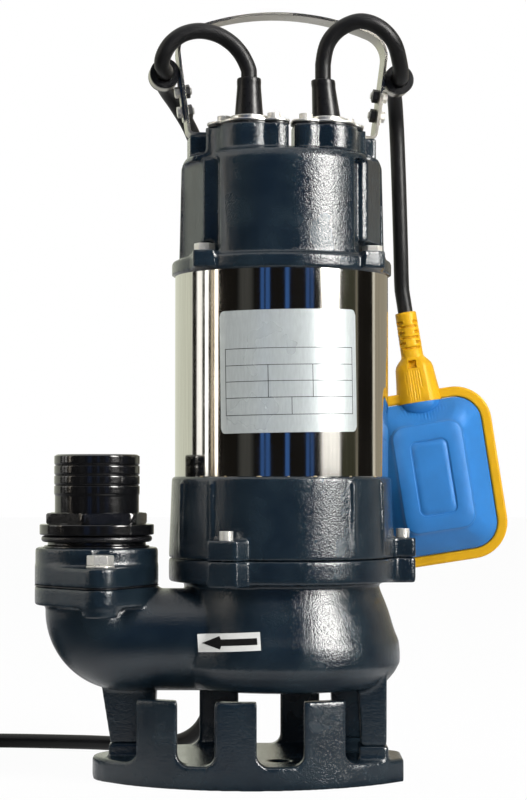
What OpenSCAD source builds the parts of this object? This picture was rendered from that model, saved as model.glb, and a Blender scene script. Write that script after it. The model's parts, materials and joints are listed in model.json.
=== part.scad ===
// Submersible sewage pump: strainer base, volute with a flanged outlet, oil chamber, stainless motor
// shell, cast top cover with two cable glands, strip handle and a float switch on its own cable.
// Origin: motor axis where it meets the floor. +Z up, -Y to the front, outlet on the -X side.

/* [Strainer base] */
// Thickness of the oval base plate
plate_t = 13; // [8:0.5:16]
// Distance from the middle of the plate to its long edges
plate_half = 57; // [52:0.5:62]
// Radius of the two long edges
plate_arc = 112; // [104:1:130]
// Left end of the plate
plate_left = -108; // [-114:1:-102]
// Right end of the plate
plate_right = 68.5; // [64:0.5:74]
// Height of the strainer teeth above the plate
tooth_h = 35; // [25:0.5:36.5]
// Wall thickness of the teeth
tooth_wall = 10; // [6:0.5:14]
// Radius at the foot of the teeth
tooth_fillet = 6; // [2:0.5:9]
// Height of the pads under the volute's legs
pad_h = 8; // [4:0.5:14]

/* [Volute] */
// Radius of the volute at its widest
volute_r = 67.6; // [64:0.2:70]
// Wall thickness of the castings
cast_wall = 6.5; // [4:0.5:7.5]
// Radius of the suction eye
eye_r = 24; // [18:0.5:28]
// Bore radius of the discharge pipe
pipe_bore = 24; // [18:0.5:26]
// Outside radius of the discharge pipe
pipe_r = 28.8; // [27:0.2:32]
// Distance from the motor axis to the outlet's axis, along X
outlet_x = 104.5; // [100:0.5:114]
// Distance from the motor axis to the outlet's axis, towards the front
outlet_y = 20; // [14:0.5:26]

/* [Outlet] */
// Thickness of the upper flange's lug plate
flange_t = 10.8; // [8:0.2:14]
// Height of the threaded boss above the lug plate
boss_h = 10; // [6:0.5:14]
// Outside radius of the hose tail's thread
thread_r = 29.8; // [27:0.1:31]
// Radius of the hose tail's neck, a 50 mm hose
tail_r = 24; // [22:0.5:26]
// Height of the barbed part
barb_h = 22.6; // [16:0.2:40]

/* [Impeller] */
// Radius of the impeller
impeller_r = 47; // [40:0.5:48]
// Number of vanes
vane_n = 6; // [4:1:9]
// Height of the vanes
vane_h = 12; // [6:0.5:15]

/* [Motor] */
// Radius of the stainless shell
shell_r = 61.2; // [59.8:0.1:63]
// Length of the stainless shell between the castings
shell_len = 115.3; // [105:0.1:140]
// Wall of the stainless shell
shell_t = 1; // [0.6:0.1:1.6]
// Radius of the motor shaft in its bearings
shaft_r = 7.5; // [6.5:0.5:8.5]
// Radius of the rotor core
rotor_r = 29; // [24:0.5:32]
// Length of the stator stack
stack_len = 60; // [40:1:64]
// Air gap between the rotor and the stator
air_gap = 0.5; // [0.3:0.1:1]

/* [Housings] */
// Height of the lower housing
housing_h = 45.5; // [43:0.5:50]
// Height of the top cover above the shell
cover_h = 82.5; // [76:0.5:90]
// Angle by which the top cover is turned against the base
cap_yaw = 8; // [0:1:15]

/* [Handle] */
// Height of the handle above its lugs
handle_h = 72; // [64:0.5:90]
// Width of the strip
strip_w = 16; // [13:0.5:20]
// Thickness of the strip
strip_t = 1.6; // [1.2:0.1:2.4]

/* [Cables] */
// Diameter of the rubber cables
cable_d = 9; // [7.5:0.1:9.4]
// Turns of the power cable's coil
coil_turns = 12.25; // [8.25:4:16.25]
// Middle radius of the coil
coil_r = 54; // [48:0.5:60]

/* [Float switch] */
// Width of the float
float_w = 82; // [70:1:90]
// Height of the float
float_len = 104; // [95:1:115]
// Thickness of the float
float_t = 42; // [30:1:48]
// Tilt of the hanging float
float_tilt = 8.8; // [0:0.2:12]

/* [Hidden] */

$fn = 96;
eps = 0.01;
// Clearance between cast or pressed pieces that fit together
fit = 0.1;
enamel = [0.13, 0.18, 0.22];
steel = [0.75, 0.76, 0.77];
rubber_black = [0.06, 0.06, 0.07];
amber = [0.93, 0.68, 0.08];
float_blue = [0.23, 0.51, 0.80];
copper = [0.72, 0.42, 0.2];
iron = [0.35, 0.36, 0.38];

// Heights, from the floor up
tooth_top = plate_t + tooth_h;
pad_top = plate_t + pad_h;
volute_z = 52;
widest_z = 70;
pipe_z = 80;
outlet_z = 110.3;
gasket_t = 0.7;
// The volute ends in a flange; the lower housing stands on it with a gasket between
flange_low = 112;
volute_flange_t = 13.4;
volute_top = flange_low + volute_flange_t;
casing_gasket_t = 0.3;
housing_z = volute_top + casing_gasket_t;
shell_z = housing_z + housing_h;
cover_z = shell_z + shell_len;
cover_top = cover_z + cover_h;

// Radii that follow the shell
shell_in = shell_r - shell_t;
housing_r = shell_r + 3.5;
cover_r = shell_r - 2.2;
handle_half = shell_r - 7.2;

// Base plate
plate_x = -17;
nose_r = 28;
nose_join = 7;
plate_y = -2;
front_teeth = [-69.5, -25.6, 23.3];
back_teeth = [-36.8, 11.1];
tooth_w = 23;
leg_screw_r = 3;
// Each leg of the volute: middle in X and Y, width in X, depth in Y, height above the volute's bottom
legs = [[-85, -4, 24, 20, 18], [51.3, -17, 14.5, 24, 8], [40, 22, 20, 20, 8]];

// Fastener sizes by their thread's nominal diameter
function head_w(d) = d == 4 ? 7 : d == 5 ? 8 : d == 6 ? 10 : 13;
function head_h(d) = 0.7 * d;

// A point on a circle, the angle counted from the front (-Y) towards +X
function polar(r, a) = [r * sin(a), -r * cos(a)];
module ring(r_out, r_in, h) {
  difference() {
    cylinder(r = r_out, h = h);
    translate([0, 0, -1]) cylinder(r = r_in, h = h + 2);
  }
}
// Hexagon bolt: the head sits on z = 0, the shank runs down
module hex_bolt(d, len) {
  union() {
    cylinder(d = head_w(d) / cos(30), h = head_h(d), $fn = 6);
    translate([0, 0, -len]) cylinder(d = d, h = len + eps);
  }
}

// --- Cable sweeps ---
function unit(v) = v / norm(v);
// A smooth curve through the points, n steps between two points; its first and last stretch are straight
function through(p, n) = let (last = len(p) - 1) concat([p[0]],
  [for (i = [1:last - 2]) for (j = [0:n - 1])
    let (a = p[i - 1], b = p[i], c = p[i + 1], d = p[i + 2], t = j / n)
      (2 * b + (c - a) * t + (2 * a - 5 * b + 4 * c - d) * t * t + (3 * b - a - 3 * c + d) * t * t * t) / 2],
  [p[last - 1], p[last]]);
function tangent(p, i) = unit(p[min(i + 1, len(p) - 1)] - p[max(i - 1, 0)]);
// Side directions of the rings, carried along the curve without twist
function sides_along(p) = [
  for (i = 0, t = tangent(p, 0), u = unit(cross(t, abs(t[2]) < 0.9 ? [0, 0, 1] : [0, 1, 0]));
    i < len(p);
    i = i + 1, t = i < len(p) ? tangent(p, i) : t, u = unit(u - (u * t) * t)) u];
module tube(p, d, sides = 8) {
  u = sides_along(p);
  n = len(p);
  points = [for (i = [0:n - 1]) let (t = tangent(p, i), v = cross(t, u[i]))
    for (k = [0:sides - 1]) p[i] + d / 2 * (u[i] * cos(k * 360 / sides) + v * sin(k * 360 / sides))];
  walls = [for (i = [0:n - 2], k = [0:sides - 1])
    let (a = i * sides + k, b = i * sides + (k + 1) % sides)
      each [[a, a + sides, b], [b, a + sides, b + sides]]];
  caps = [for (k = [1:sides - 2]) each [[0, k, k + 1],
    [(n - 1) * sides, (n - 1) * sides + k + 1, (n - 1) * sides + k]]];
  polyhedron(points = points, faces = concat(walls, caps));
}

// --- Strainer base ---
// Outline of the plate, drawn in by inset: two long arcs, a round left end and a blunt right end
module plate_outline(inset = 0) {
  intersection() {
    translate([plate_x, plate_y + plate_arc - plate_half]) circle(plate_arc - inset);
    translate([plate_x, plate_y - plate_arc + plate_half]) circle(plate_arc - inset);
    union() {
      translate([plate_left + nose_r, plate_y]) circle(nose_r - inset);
      translate([plate_left + nose_join, plate_y - plate_half])
        square([plate_right - plate_left - nose_join - inset, 2 * plate_half]);
    }
  }
}
// The gap between two teeth: a slot with round bottom corners
module tooth_gap(x0, x1) {
  f = min(tooth_fillet, (x1 - x0) / 2 - 0.5);
  translate([0, plate_t]) union() {
    translate([x0 + f, 0]) square([x1 - x0 - 2 * f, tooth_h + 20]);
    translate([x0, f]) square([x1 - x0, tooth_h + 20]);
    for (x = [x0 + f, x1 - f]) translate([x, f]) circle(f, $fn = 48);
  }
}
module teeth_gaps(centres, y0, y1) {
  edges = concat([plate_left - 20], [for (c = centres) each [c - tooth_w / 2, c + tooth_w / 2]],
    [plate_right + 20]);
  translate([0, y1, 0]) rotate([90, 0, 0]) linear_extrude(y1 - y0)
    for (i = [0:2:len(edges) - 2]) tooth_gap(edges[i], edges[i + 1]);
}
module leg_footprint(leg, grow = 0) {
  translate([leg[0], leg[1]]) square([leg[2] + 2 * grow, leg[3] + 2 * grow], center = true);
}
module strainer_base() {
  color(enamel) difference() {
    union() {
      linear_extrude(plate_t) plate_outline();
      difference() {
        linear_extrude(tooth_top) difference() {
          plate_outline();
          plate_outline(tooth_wall);
        }
        teeth_gaps(front_teeth, plate_y - plate_half - 10, plate_y);
        teeth_gaps(back_teeth, plate_y, plate_y + plate_half + 10);
      }
      intersection() {
        linear_extrude(pad_top) plate_outline();
        for (leg = legs) linear_extrude(pad_top) leg_footprint(leg, 1);
      }
    }
    for (leg = legs) translate([leg[0], leg[1], -1]) {
      cylinder(r = leg_screw_r + 0.3, h = pad_top + 2);
      cylinder(r = head_w(6) / 2 + 0.8, h = head_h(6) + 2);
    }
    translate([drain_pos[0], drain_pos[1], -1]) cylinder(r = drain_r, h = plate_t + 2);
  }
}
drain_pos = [-1, -29];
drain_r = 5;
module base_screws() {
  color(steel) for (leg = legs) translate([leg[0], leg[1], head_h(6) + 1]) rotate([180, 0, 0])
    difference() {
      union() {
        cylinder(r = head_w(6) / 2, h = head_h(6) - 0.2);
        translate([0, 0, -(pad_top + screw_grip)]) cylinder(r = leg_screw_r, h = pad_top + screw_grip + eps);
      }
      translate([0, 0, 1.5]) cylinder(d = 5 / cos(30), h = 5, $fn = 6);
    }
}
screw_grip = 8;

// --- Volute ---
// Outside profile of the volute body, radius by height, from the bottom ring to the top ring
volute_profile = [[50, volute_z], [57, volute_z + 1.2], [61.5, volute_z + 4.6], [65, volute_z + 9],
  [volute_r, volute_z + 14], [volute_r, widest_z + 2], [67, 78], [64.7, 83.5], [63, 89],
  [61.2, 95], [58.9, 101], [56.6, 106.5], [55.5, flange_low - 2], [57, flange_low],
  [housing_r - 0.5, flange_low], [housing_r, flange_low + 0.5], [housing_r, volute_top]];
chamber_top_r = 49;
bend_r = 16;
bend_step = 0.1;
bend_x = -(outlet_x - bend_r);
bend_z = pipe_z + bend_r;
flange_half = 34.8;
ear_r = 11;
ear_y = 42.5;
ear_depth = 5;
ear_slant = acos((flange_half - ear_r) / ear_y);
ear_yaw = 7;
lug_angles = -26;
lug_r = housing_r + 5.3;
lug_half = 10;
lug_out = 6.5;
lug_in = 16;
lug_drop = 1;
lug_step = 0.1;
lug_h = 11;
lug_corner = 2.5;
lug_screw_r = 2.5;
// Lug for a housing bolt, on the volute's flange and on the lower housing alike, from z = 0 to h
module casing_lug(h) {
  linear_extrude(h) union() {
    translate([-lug_half, -lug_r - lug_out + lug_corner]) square([2 * lug_half, lug_out + lug_in]);
    translate([-lug_half + lug_corner, -lug_r - lug_out]) square([2 * (lug_half - lug_corner), lug_out + lug_in]);
    for (x = [-1, 1]) translate([x * (lug_half - lug_corner), -lug_r - lug_out + lug_corner])
      circle(lug_corner, $fn = 48);
  }
}
module volute_body() {
  rotate_extrude() polygon(concat([[0, volute_z]], volute_profile, [[0, volute_top]]));
}
// Chamber that the impeller turns in, one wall inside the outside profile
module volute_chamber() {
  rotate_extrude() polygon([[0, volute_z + cast_wall], [48, volute_z + cast_wall],
    [55, volute_z + cast_wall + 4.5], [volute_r - cast_wall, widest_z - 4],
    [volute_r - cast_wall, widest_z + 6], [57, 89], [53.5, 99],
    [chamber_top_r, 104], [chamber_top_r, volute_top + 1], [0, volute_top + 1]]);
}
// Horizontal pipe, tight bend and riser of the discharge, at radius r, from x0 to z1.
// The straight lengths are a bend_step thinner than the bend, so that no two walls coincide.
module discharge(r, x0, z1) {
  translate([0, -outlet_y, 0]) union() {
    translate([bend_x, 0, bend_z]) intersection() {
      rotate([90, 0, 0]) rotate_extrude() intersection() {
        translate([bend_r, 0]) circle(r);
        translate([0.5, -r]) square([bend_r + r, 2 * r]);
      }
      translate([-2 * outlet_x, -outlet_x, -2 * outlet_x]) cube(2 * outlet_x);
    }
    translate([bend_x - 0.5, 0, pipe_z]) rotate([0, 90, 0]) cylinder(r = r - bend_step, h = x0 - bend_x);
    translate([-outlet_x, 0, bend_z - 0.5]) cylinder(r = r - bend_step, h = z1 - bend_z + 0.5);
  }
}
// Flange plate with two bolt ears, front and back
module flange_outline() {
  union() {
    circle(flange_half);
    rotate(ear_yaw) for (s = [-1, 1]) {
      translate([0, s * ear_y]) circle(ear_r);
      // The flange's sides run on straight from its round middle to the ears
      polygon([for (q = [[-1, flange_half, 0], [1, flange_half, 0], [1, ear_r, ear_y], [-1, ear_r, ear_y]])
        [q[0] * (q[1] - 0.08) * sin(ear_slant), s * (q[2] + (q[1] - 0.08) * cos(ear_slant))]]);
    }
  }
}
// Places children at the outlet's two bolts, at height z
module at_ears(z) {
  translate([-outlet_x, -outlet_y, z]) rotate(ear_yaw) for (s = [-1, 1]) translate([0, s * ear_y, 0]) children();
}
// Three legs that widen towards the volute, each a slab seen from the front
module volute_legs() {
  for (leg = legs) let (top = volute_z + leg[4], half = leg[2] / 2, out = leg[0] < 0 ? 8 : 2)
    translate([leg[0], leg[1] + leg[3] / 2, 0]) rotate([90, 0, 0]) linear_extrude(leg[3])
        polygon([[-half, pad_top], [half, pad_top], [half + (leg[0] < 0 ? 3 : 0.2), top], [-half - out, top]]);
}
module volute_casing() {
  color(enamel) difference() {
    union() {
      volute_body();
      discharge(pipe_r, -20, outlet_z - 5);
      translate([-outlet_x, -outlet_y, outlet_z - flange_t]) linear_extrude(flange_t) flange_outline();
      at_ears(outlet_z - flange_t - ear_depth) cylinder(r = ear_r - 1, h = ear_depth + 1);
      translate([-80, -outlet_y, pipe_z + 4]) rotate([0, 90, 0]) cylinder(r = 23, h = 40);
      volute_legs();
      for (i = [0:2]) rotate(lug_angles + i * 120) translate([0, 0, flange_low - lug_drop])
        casing_lug(volute_flange_t + lug_drop + lug_step);
    }
    difference() {
      volute_chamber();
      translate([0, 0, volute_z]) ring(eye_r + 6, eye_r, cast_wall + 1);
    }
    discharge(pipe_bore, -20, outlet_z + 1);
    translate([0, 0, volute_z - 1]) cylinder(r = eye_r, h = cast_wall + 4);
    at_ears(outlet_z - flange_t - ear_depth / 2) cylinder(r = 4.05, h = flange_t + ear_depth);
    for (i = [0:2]) translate(concat(polar(lug_r, lug_angles + i * 120), [flange_low - 2 * lug_drop]))
      cylinder(r = lug_screw_r + 0.05, h = volute_flange_t + 3 * lug_drop);
    for (leg = legs) translate([leg[0], leg[1], pad_top - 1]) cylinder(r = leg_screw_r + 0.05, h = screw_grip + 8);
  }
}

// --- Outlet stack ---
module outlet_gasket() {
  color(rubber_black) difference() {
    translate([-outlet_x, -outlet_y, outlet_z]) linear_extrude(gasket_t) flange_outline();
    translate([-outlet_x, -outlet_y, outlet_z - 1]) cylinder(r = pipe_bore, h = 4);
    at_ears(outlet_z - 1) cylinder(r = 4.2, h = 4);
  }
}
flange_z = outlet_z + gasket_t;
boss_top = flange_z + flange_t + boss_h;
module outlet_flange() {
  color(enamel) difference() {
    translate([-outlet_x, -outlet_y, flange_z]) union() {
      linear_extrude(flange_t) flange_outline();
      translate([0, 0, flange_t - 3]) cylinder(r = flange_half - 0.3, h = boss_h + 3);
    }
    translate([-outlet_x, -outlet_y, flange_z - 1]) cylinder(r = pipe_bore, h = 4);
    translate([-outlet_x, -outlet_y, flange_z + 2]) cylinder(r = thread_r, h = flange_t + boss_h);
    at_ears(flange_z - 1) cylinder(r = 4.1, h = flange_t + 2);
    at_ears(flange_z + flange_t - eps) cylinder(r = 9.5, h = boss_h + 1);
  }
}
module outlet_bolts() {
  color(steel) at_ears(flange_z + flange_t) {
    translate([0, 0, 1.2]) hex_bolt(8, flange_t * 2 + gasket_t + ear_depth / 2 + 0.7);
    ring(7.8, 4.1, 1.15);
  }
}
// Barbed hose tail: thread, O-ring groove, collar, hexagon, neck and four barbs
collar_z = boss_top + 7;
hex_z = collar_z + 5.9;
neck_z = hex_z + 6.7;
barb_z = neck_z + 10;
barb_n = 4;
seal_ring_r = 1.8;
seal_groove_r = 27.6;
tail_top = barb_z + barb_h;
module hose_tail() {
  pitch = barb_h / barb_n;
  color(rubber_black) translate([-outlet_x, -outlet_y, 0]) difference() {
    union() {
      rotate_extrude() polygon(concat(
        [[0, flange_z + 3], [thread_r - fit, flange_z + 3], [thread_r - fit, boss_top + 1.2],
          [seal_groove_r - 0.1, boss_top + 1.2], [seal_groove_r - 0.1, collar_z - eps], [32.2, collar_z - eps],
          [32.2, hex_z], [tail_r - 0.3, hex_z], [tail_r - 0.3, barb_z]],
        [for (i = [0:barb_n - 1]) each [[tail_r + 1, barb_z + i * pitch + 0.6],
          [tail_r - 0.6, barb_z + (i + 1) * pitch]]], [[0, tail_top]]));
      translate([0, 0, hex_z - eps]) cylinder(d = 57, h = neck_z - hex_z, $fn = 6);
    }
    translate([0, 0, flange_z]) cylinder(r = tail_r - 4, h = 200);
  }
}
module hose_tail_seal() {
  color(rubber_black) translate([-outlet_x, -outlet_y, collar_z - 0.4 - seal_ring_r]) rotate_extrude()
    translate([seal_groove_r + seal_ring_r, 0]) circle(seal_ring_r, $fn = 32);
}

// --- Impeller and seal ---
impeller_z = 74;
hub_r = 14;
vane_r = 29;
vane_t = 3.5;
module impeller() {
  color(iron) difference() {
    union() {
      translate([0, 0, impeller_z + vane_h]) cylinder(r = impeller_r, h = 4);
      translate([0, 0, impeller_z - 3]) cylinder(r = hub_r, h = vane_h + 10);
      for (i = [0:vane_n - 1]) rotate(i * 360 / vane_n) translate([0, 0, impeller_z])
        linear_extrude(vane_h + 0.5) intersection() {
          translate([0, vane_r]) difference() {
            circle(vane_r);
            circle(vane_r - vane_t);
          }
          translate([0, -1]) square([impeller_r, vane_r]);
          circle(impeller_r - 0.5);
        }
    }
    translate([0, 0, impeller_z - 5]) cylinder(r = hub_bore, h = 40);
  }
}
hub_bore = 5;
module impeller_nut() {
  color(steel) translate([0, 0, impeller_z - 3 - 8]) difference() {
    cylinder(d = 15, h = 8, $fn = 6);
    translate([0, 0, -1]) cylinder(r = hub_bore + 0.05, h = 10);
  }
}
module casing_gasket() {
  color(rubber_black) translate([0, 0, volute_top]) ring(chamber_top_r + 2.4, chamber_top_r + 0.5, casing_gasket_t);
}
// The lower housing's plug reaches down into the volute and carries the seal; its face looks at the impeller
plug_face = 106.2;
seal_z = plug_face + 8;
module seal_seat() {
  color("white") translate([0, 0, plug_face + 2.5]) ring(13, shaft_r + 1, 8);
}
module seal_head() {
  color("dimgray") translate([0, 0, seal_z + 2.5 + fit]) ring(12.5, shaft_r + 0.02, seal_head_h);
}
spring_d = 1.8;
spring_r = 10.2;
spring_h = 14;
seal_head_h = 7;
spring_z = seal_z + 2.5 + fit + seal_head_h;
module seal_spring() {
  turns = 4;
  n = 8;
  color(steel) tube([for (i = [0:turns * n]) [spring_r * cos(i * 360 / n), spring_r * sin(i * 360 / n),
    spring_z + spring_d / 2 + 0.1 + i * (spring_h - spring_d) / (turns * n)]], spring_d, 6);
}

// --- Lower housing: oil chamber, bearing seat and shell spigot ---
bearing_r = 17.5;
bearing_h = 11;
low_bearing_z = shell_z - 18;
shell_spigot = 8;
groove_z = 3.4;
groove_w = 1.6;
rib_angles = [-62, -38, 38, 62];
rib_w = 3;
rib_out = 0.2;
oil_r = 45;
oil_h = 18;
groove = 1.4;
tie_d = 6;
tie_r = shell_in - groove - tie_d / 2 - 0.4;
module lower_housing() {
  color(enamel) difference() {
    union() {
      rotate_extrude() polygon([[0, plug_face], [chamber_top_r - 0.3, plug_face],
        [chamber_top_r - 0.3, housing_z], [housing_r, housing_z], [shell_r + 1.8, shell_z - 1],
        [shell_r + 1, shell_z], [shell_in - fit, shell_z], [shell_in - fit, shell_z + groove_z],
        [shell_in - groove, shell_z + groove_z], [shell_in - groove, shell_z + groove_z + groove_w],
        [shell_in - fit, shell_z + groove_z + groove_w], [shell_in - fit, shell_z + shell_spigot],
        [0, shell_z + shell_spigot]]);
      for (i = [0:2]) rotate(lug_angles + i * 120) translate([0, 0, housing_z - lug_step])
        casing_lug(lug_h + lug_step);
      // Upright ribs at the sides
      for (a = rib_angles) rotate(a) translate([-rib_w / 2, -housing_r - rib_out, housing_z + 3])
        cube([rib_w, 4, housing_h - 6]);
    }
    // Oil chamber
    translate([0, 0, seal_z + 2]) cylinder(r = 22, h = low_bearing_z - seal_z - 5);
    translate([0, 0, seal_z + 10]) cylinder(r = oil_r, h = oil_h);
    // Seal seat, shaft and bearing
    translate([0, 0, plug_face - 1]) cylinder(r = shaft_r + 1.5, h = shell_z - plug_face);
    translate([0, 0, plug_face + 2.4]) cylinder(r = 13 + fit, h = 20);
    translate([0, 0, low_bearing_z - 5]) cylinder(r = inner_r + 1.5, h = 6);
    translate([0, 0, low_bearing_z - eps]) cylinder(r = bearing_r + 0.03, h = bearing_h + 10);
    translate([0, 0, low_bearing_z + bearing_h]) cylinder(r = oil_r, h = 40);
    // Bolt holes
    for (i = [0:2]) translate(concat(polar(lug_r, lug_angles + i * 120), [housing_z - 1]))
      cylinder(r = lug_screw_r + 0.2, h = lug_h + 2);
    for (i = [0:2]) translate(concat(polar(tie_r, cap_yaw - 60 + i * 120), [shell_z - 14]))
      cylinder(r = tie_d / 2 + 0.05, h = 40);
  }
}
module housing_bolts() {
  color(steel) for (i = [0:2]) translate(concat(polar(lug_r, lug_angles + i * 120), [housing_z + lug_h]))
    difference() {
      union() {
        cylinder(r = 3.8, h = 5);
        translate([0, 0, -(lug_h + casing_gasket_t + volute_flange_t)])
          cylinder(r = lug_screw_r, h = lug_h + casing_gasket_t + volute_flange_t + eps);
      }
      translate([0, 0, 2]) cylinder(d = 4 / cos(30), h = 4, $fn = 6);
    }
}

// --- Bearings, shaft, rotor and stator ---
up_bearing_z = cover_z - shell_spigot + 3;
inner_r = 10.2;
ball_d = 5.4;
ball_n = 8;
module bearing_fixed(z) {
  color(steel) translate([0, 0, z]) {
    ring(bearing_r, bearing_r - 3.2, bearing_h);
    for (i = [0:ball_n - 1]) rotate(i * 360 / ball_n)
      translate([(inner_r + bearing_r - 3.2) / 2, 0, bearing_h / 2]) sphere(d = bearing_r - 3.2 - inner_r - 0.3, $fn = 24);
  }
}
module lower_bearing() { bearing_fixed(low_bearing_z); }
module upper_bearing() { bearing_fixed(up_bearing_z); }
module lower_bearing_inner() { color(steel) translate([0, 0, low_bearing_z]) ring(inner_r, shaft_r + 0.02, bearing_h); }
module upper_bearing_inner() { color(steel) translate([0, 0, up_bearing_z]) ring(inner_r, shaft_r + 0.02, bearing_h); }
stack_z = shell_z + shell_spigot + 14;
module motor_shaft() {
  top = up_bearing_z + bearing_h + 2;
  // The collar that the seal's spring pushes against
  collar_low = spring_z + spring_h + 0.2;
  color(steel) translate([0, 0, 0]) rotate_extrude() polygon([[0, impeller_z - 14],
    [hub_bore - 0.02, impeller_z - 14], [hub_bore - 0.02, impeller_z + vane_h + 7.2],
    [shaft_r, impeller_z + vane_h + 7.2], [shaft_r, collar_low], [shaft_r + 4, collar_low],
    [shaft_r + 4, collar_low + 2], [shaft_r, collar_low + 2], [shaft_r, low_bearing_z + bearing_h],
    [shaft_r + 2, low_bearing_z + bearing_h + 0.1], [shaft_r + 2, stack_z - 6], [shaft_r, stack_z - 6],
    [shaft_r, top], [0, top]]);
}
module rotor_core() {
  color(iron) difference() {
    union() {
      translate([0, 0, stack_z]) cylinder(r = rotor_r, h = stack_len);
      for (z = [stack_z - 5, stack_z + stack_len]) translate([0, 0, z]) ring(rotor_r - 1, rotor_r - 9, 5);
    }
    translate([0, 0, stack_z - 1]) cylinder(r = shaft_r + 0.02, h = stack_len + 2);
  }
}
slot_n = 24;
slot_r = 36;
wire_r = 3.2;
winding_h = 12.8;
module stator_core() {
  color(iron) translate([0, 0, stack_z]) difference() {
    cylinder(r = shell_in - fit, h = stack_len);
    translate([0, 0, -1]) cylinder(r = rotor_r + air_gap, h = stack_len + 2);
    for (i = [0:slot_n - 1]) rotate(i * 360 / slot_n) translate([slot_r, 0, -1]) cylinder(r = wire_r + 0.2, h = stack_len + 2);
    for (i = [0:2]) rotate(cap_yaw - 60 + i * 120) translate([0, -tie_r - 6, stack_len / 2])
      cube([tie_d + 2, 20, stack_len + 2], center = true);
  }
}
module stator_windings() {
  color(copper) difference() {
    union() {
      for (z = [stack_z - winding_h - 0.2, stack_z + stack_len + 0.2]) translate([0, 0, z])
        ring(slot_r + 10, slot_r - 3, winding_h);
      for (i = [0:slot_n - 1]) rotate(i * 360 / slot_n) translate([slot_r, 0, stack_z - 1])
        cylinder(r = wire_r, h = stack_len + 2);
    }
  }
}
module motor_shell() {
  color(steel) translate([0, 0, shell_z]) ring(shell_r, shell_in, shell_len);
}
module shell_seals() {
  mid = groove_z + groove_w / 2;
  for (z = [shell_z + mid, cover_z - mid]) color(rubber_black) translate([0, 0, z]) rotate_extrude()
    translate([shell_in - groove / 2 - 0.02, 0]) circle(groove / 2 - 0.06, $fn = 24);
}
head_z = cover_z + 10;
module tie_bolts() {
  color(steel) for (i = [0:2]) translate(concat(polar(tie_r, cap_yaw - 60 + i * 120), [head_z + 1.4]))
    hex_bolt(tie_d, head_z + 1.4 - shell_z + 12);
}
module tie_bolt_washers() {
  color(steel) for (i = [0:2]) translate(concat(polar(tie_r, cap_yaw - 60 + i * 120), [head_z]))
    ring(6, tie_d / 2 + 0.1, 1.4);
}

// --- Top cover ---
turret_z = cover_top - 14;
rim_z = cover_z + 8.4;
boss_r = 7.6;
channel_r = 10;
motor_head_r = 47;
cap_space_r = 40;
gland_x = 22.3;
gland_y = 25;
gland_turn = -30;
gland_half = 15.3;
gland_ear_r = 9;
gland_r = 16;
lug_z = cover_top - 2.5;
module gland_outline(grow = 0, turn = 1) {
  rotate(turn * gland_turn) union() {
    circle(gland_r + grow);
    for (s = [-1, 1]) translate([s * gland_half, 0]) circle(gland_ear_r + grow);
    polygon([[-gland_half, 6 + grow], [-6, gland_r + grow - 1], [6, gland_r + grow - 1], [gland_half, 6 + grow],
      [gland_half, -6 - grow], [6, -gland_r - grow + 1], [-6, -gland_r - grow + 1], [-gland_half, -6 - grow]]);
  }
}
module top_cover() {
  color(enamel) rotate(cap_yaw) difference() {
    union() {
      rotate_extrude() polygon([[0, cover_z - shell_spigot], [shell_in - fit, cover_z - shell_spigot],
        [shell_in - fit, cover_z - groove_z - groove_w], [shell_in - groove, cover_z - groove_z - groove_w],
        [shell_in - groove, cover_z - groove_z], [shell_in - fit, cover_z - groove_z], [shell_in - fit, cover_z],
        [shell_r + 1.9, cover_z], [shell_r + 1.9, cover_z + 7], [shell_r + 0.6, rim_z],
        [cover_r, rim_z], [cover_r - 1.2, turret_z - 6], [cover_r - 3, turret_z - 2],
        [cover_r - 9, turret_z], [0, turret_z]]);
      for (s = [-1, 1]) translate([s * gland_x, -gland_y, turret_z - 1]) mirror([s > 0 ? 1 : 0, 0, 0])
        linear_extrude(cover_top - turret_z + 1) intersection() {
          gland_outline(1.5);
          translate([-60, -40]) square([60 + gland_x - 1.6, 100]);
        }
      for (s = [-1, 1]) translate([s * handle_half - (s > 0 ? 12 : 0), -strip_w / 2 - 1, turret_z - 20])
        cube([12, strip_w + 2, lug_z - turret_z + 20]);
      for (i = [0:2]) rotate(-60 + i * 120) translate([0, -tie_r, cover_z])
        cylinder(r = boss_r, h = head_z - cover_z);
    }
    // Channels that give the bolts their way down
    for (i = [0:2]) rotate(-60 + i * 120) translate([0, -tie_r - 2, head_z]) cylinder(r = channel_r, h = cover_h);
    // Inside: bearing seat, capacitor space, cable ways
    translate([0, 0, cover_z - shell_spigot - 1]) cylinder(r = motor_head_r, h = 4 - eps);
    translate([0, 0, cover_z - shell_spigot - 1]) cylinder(r = bearing_r + 0.03, h = 4 + bearing_h);
    translate([0, 0, up_bearing_z]) cylinder(r = shaft_r + 3, h = 40);
    translate([0, 0, cover_z + 22]) cylinder(r = cap_space_r, h = turret_z - cover_z - 30);
    for (s = [-1, 1]) translate([s * gland_x, -gland_y, cover_z + 40]) cylinder(r = cable_d / 2 + 2, h = 60);
    for (s = [-1, 1], e = [-1, 1]) translate([s * gland_x, -gland_y, 0]) rotate(-s * gland_turn)
      translate([e * gland_half, 0, cover_top - 11]) cylinder(r = 2.05, h = 20);
    for (i = [0:2]) rotate(-60 + i * 120) translate([0, -tie_r, cover_z - 20]) cylinder(r = tie_d / 2 + 0.1, h = 60);
    for (s = [-1, 1]) translate([s * foot_x, 0, lug_z - 9]) cylinder(r = 2.55, h = 20);
  }
}
foot_x = handle_half - 6.5;
cap_r = 15;
cap_len = 60;
module capacitor() {
  color("whitesmoke") rotate(cap_yaw) translate([0, cap_len / 2, cover_z + 22.3 + cap_r]) rotate([90, 0, 0]) union() {
    cylinder(r = cap_r, h = cap_len);
    for (x = [-4, 4]) translate([x, 0, cap_len - eps]) cylinder(r = 1.2, h = 6);
  }
}

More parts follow.
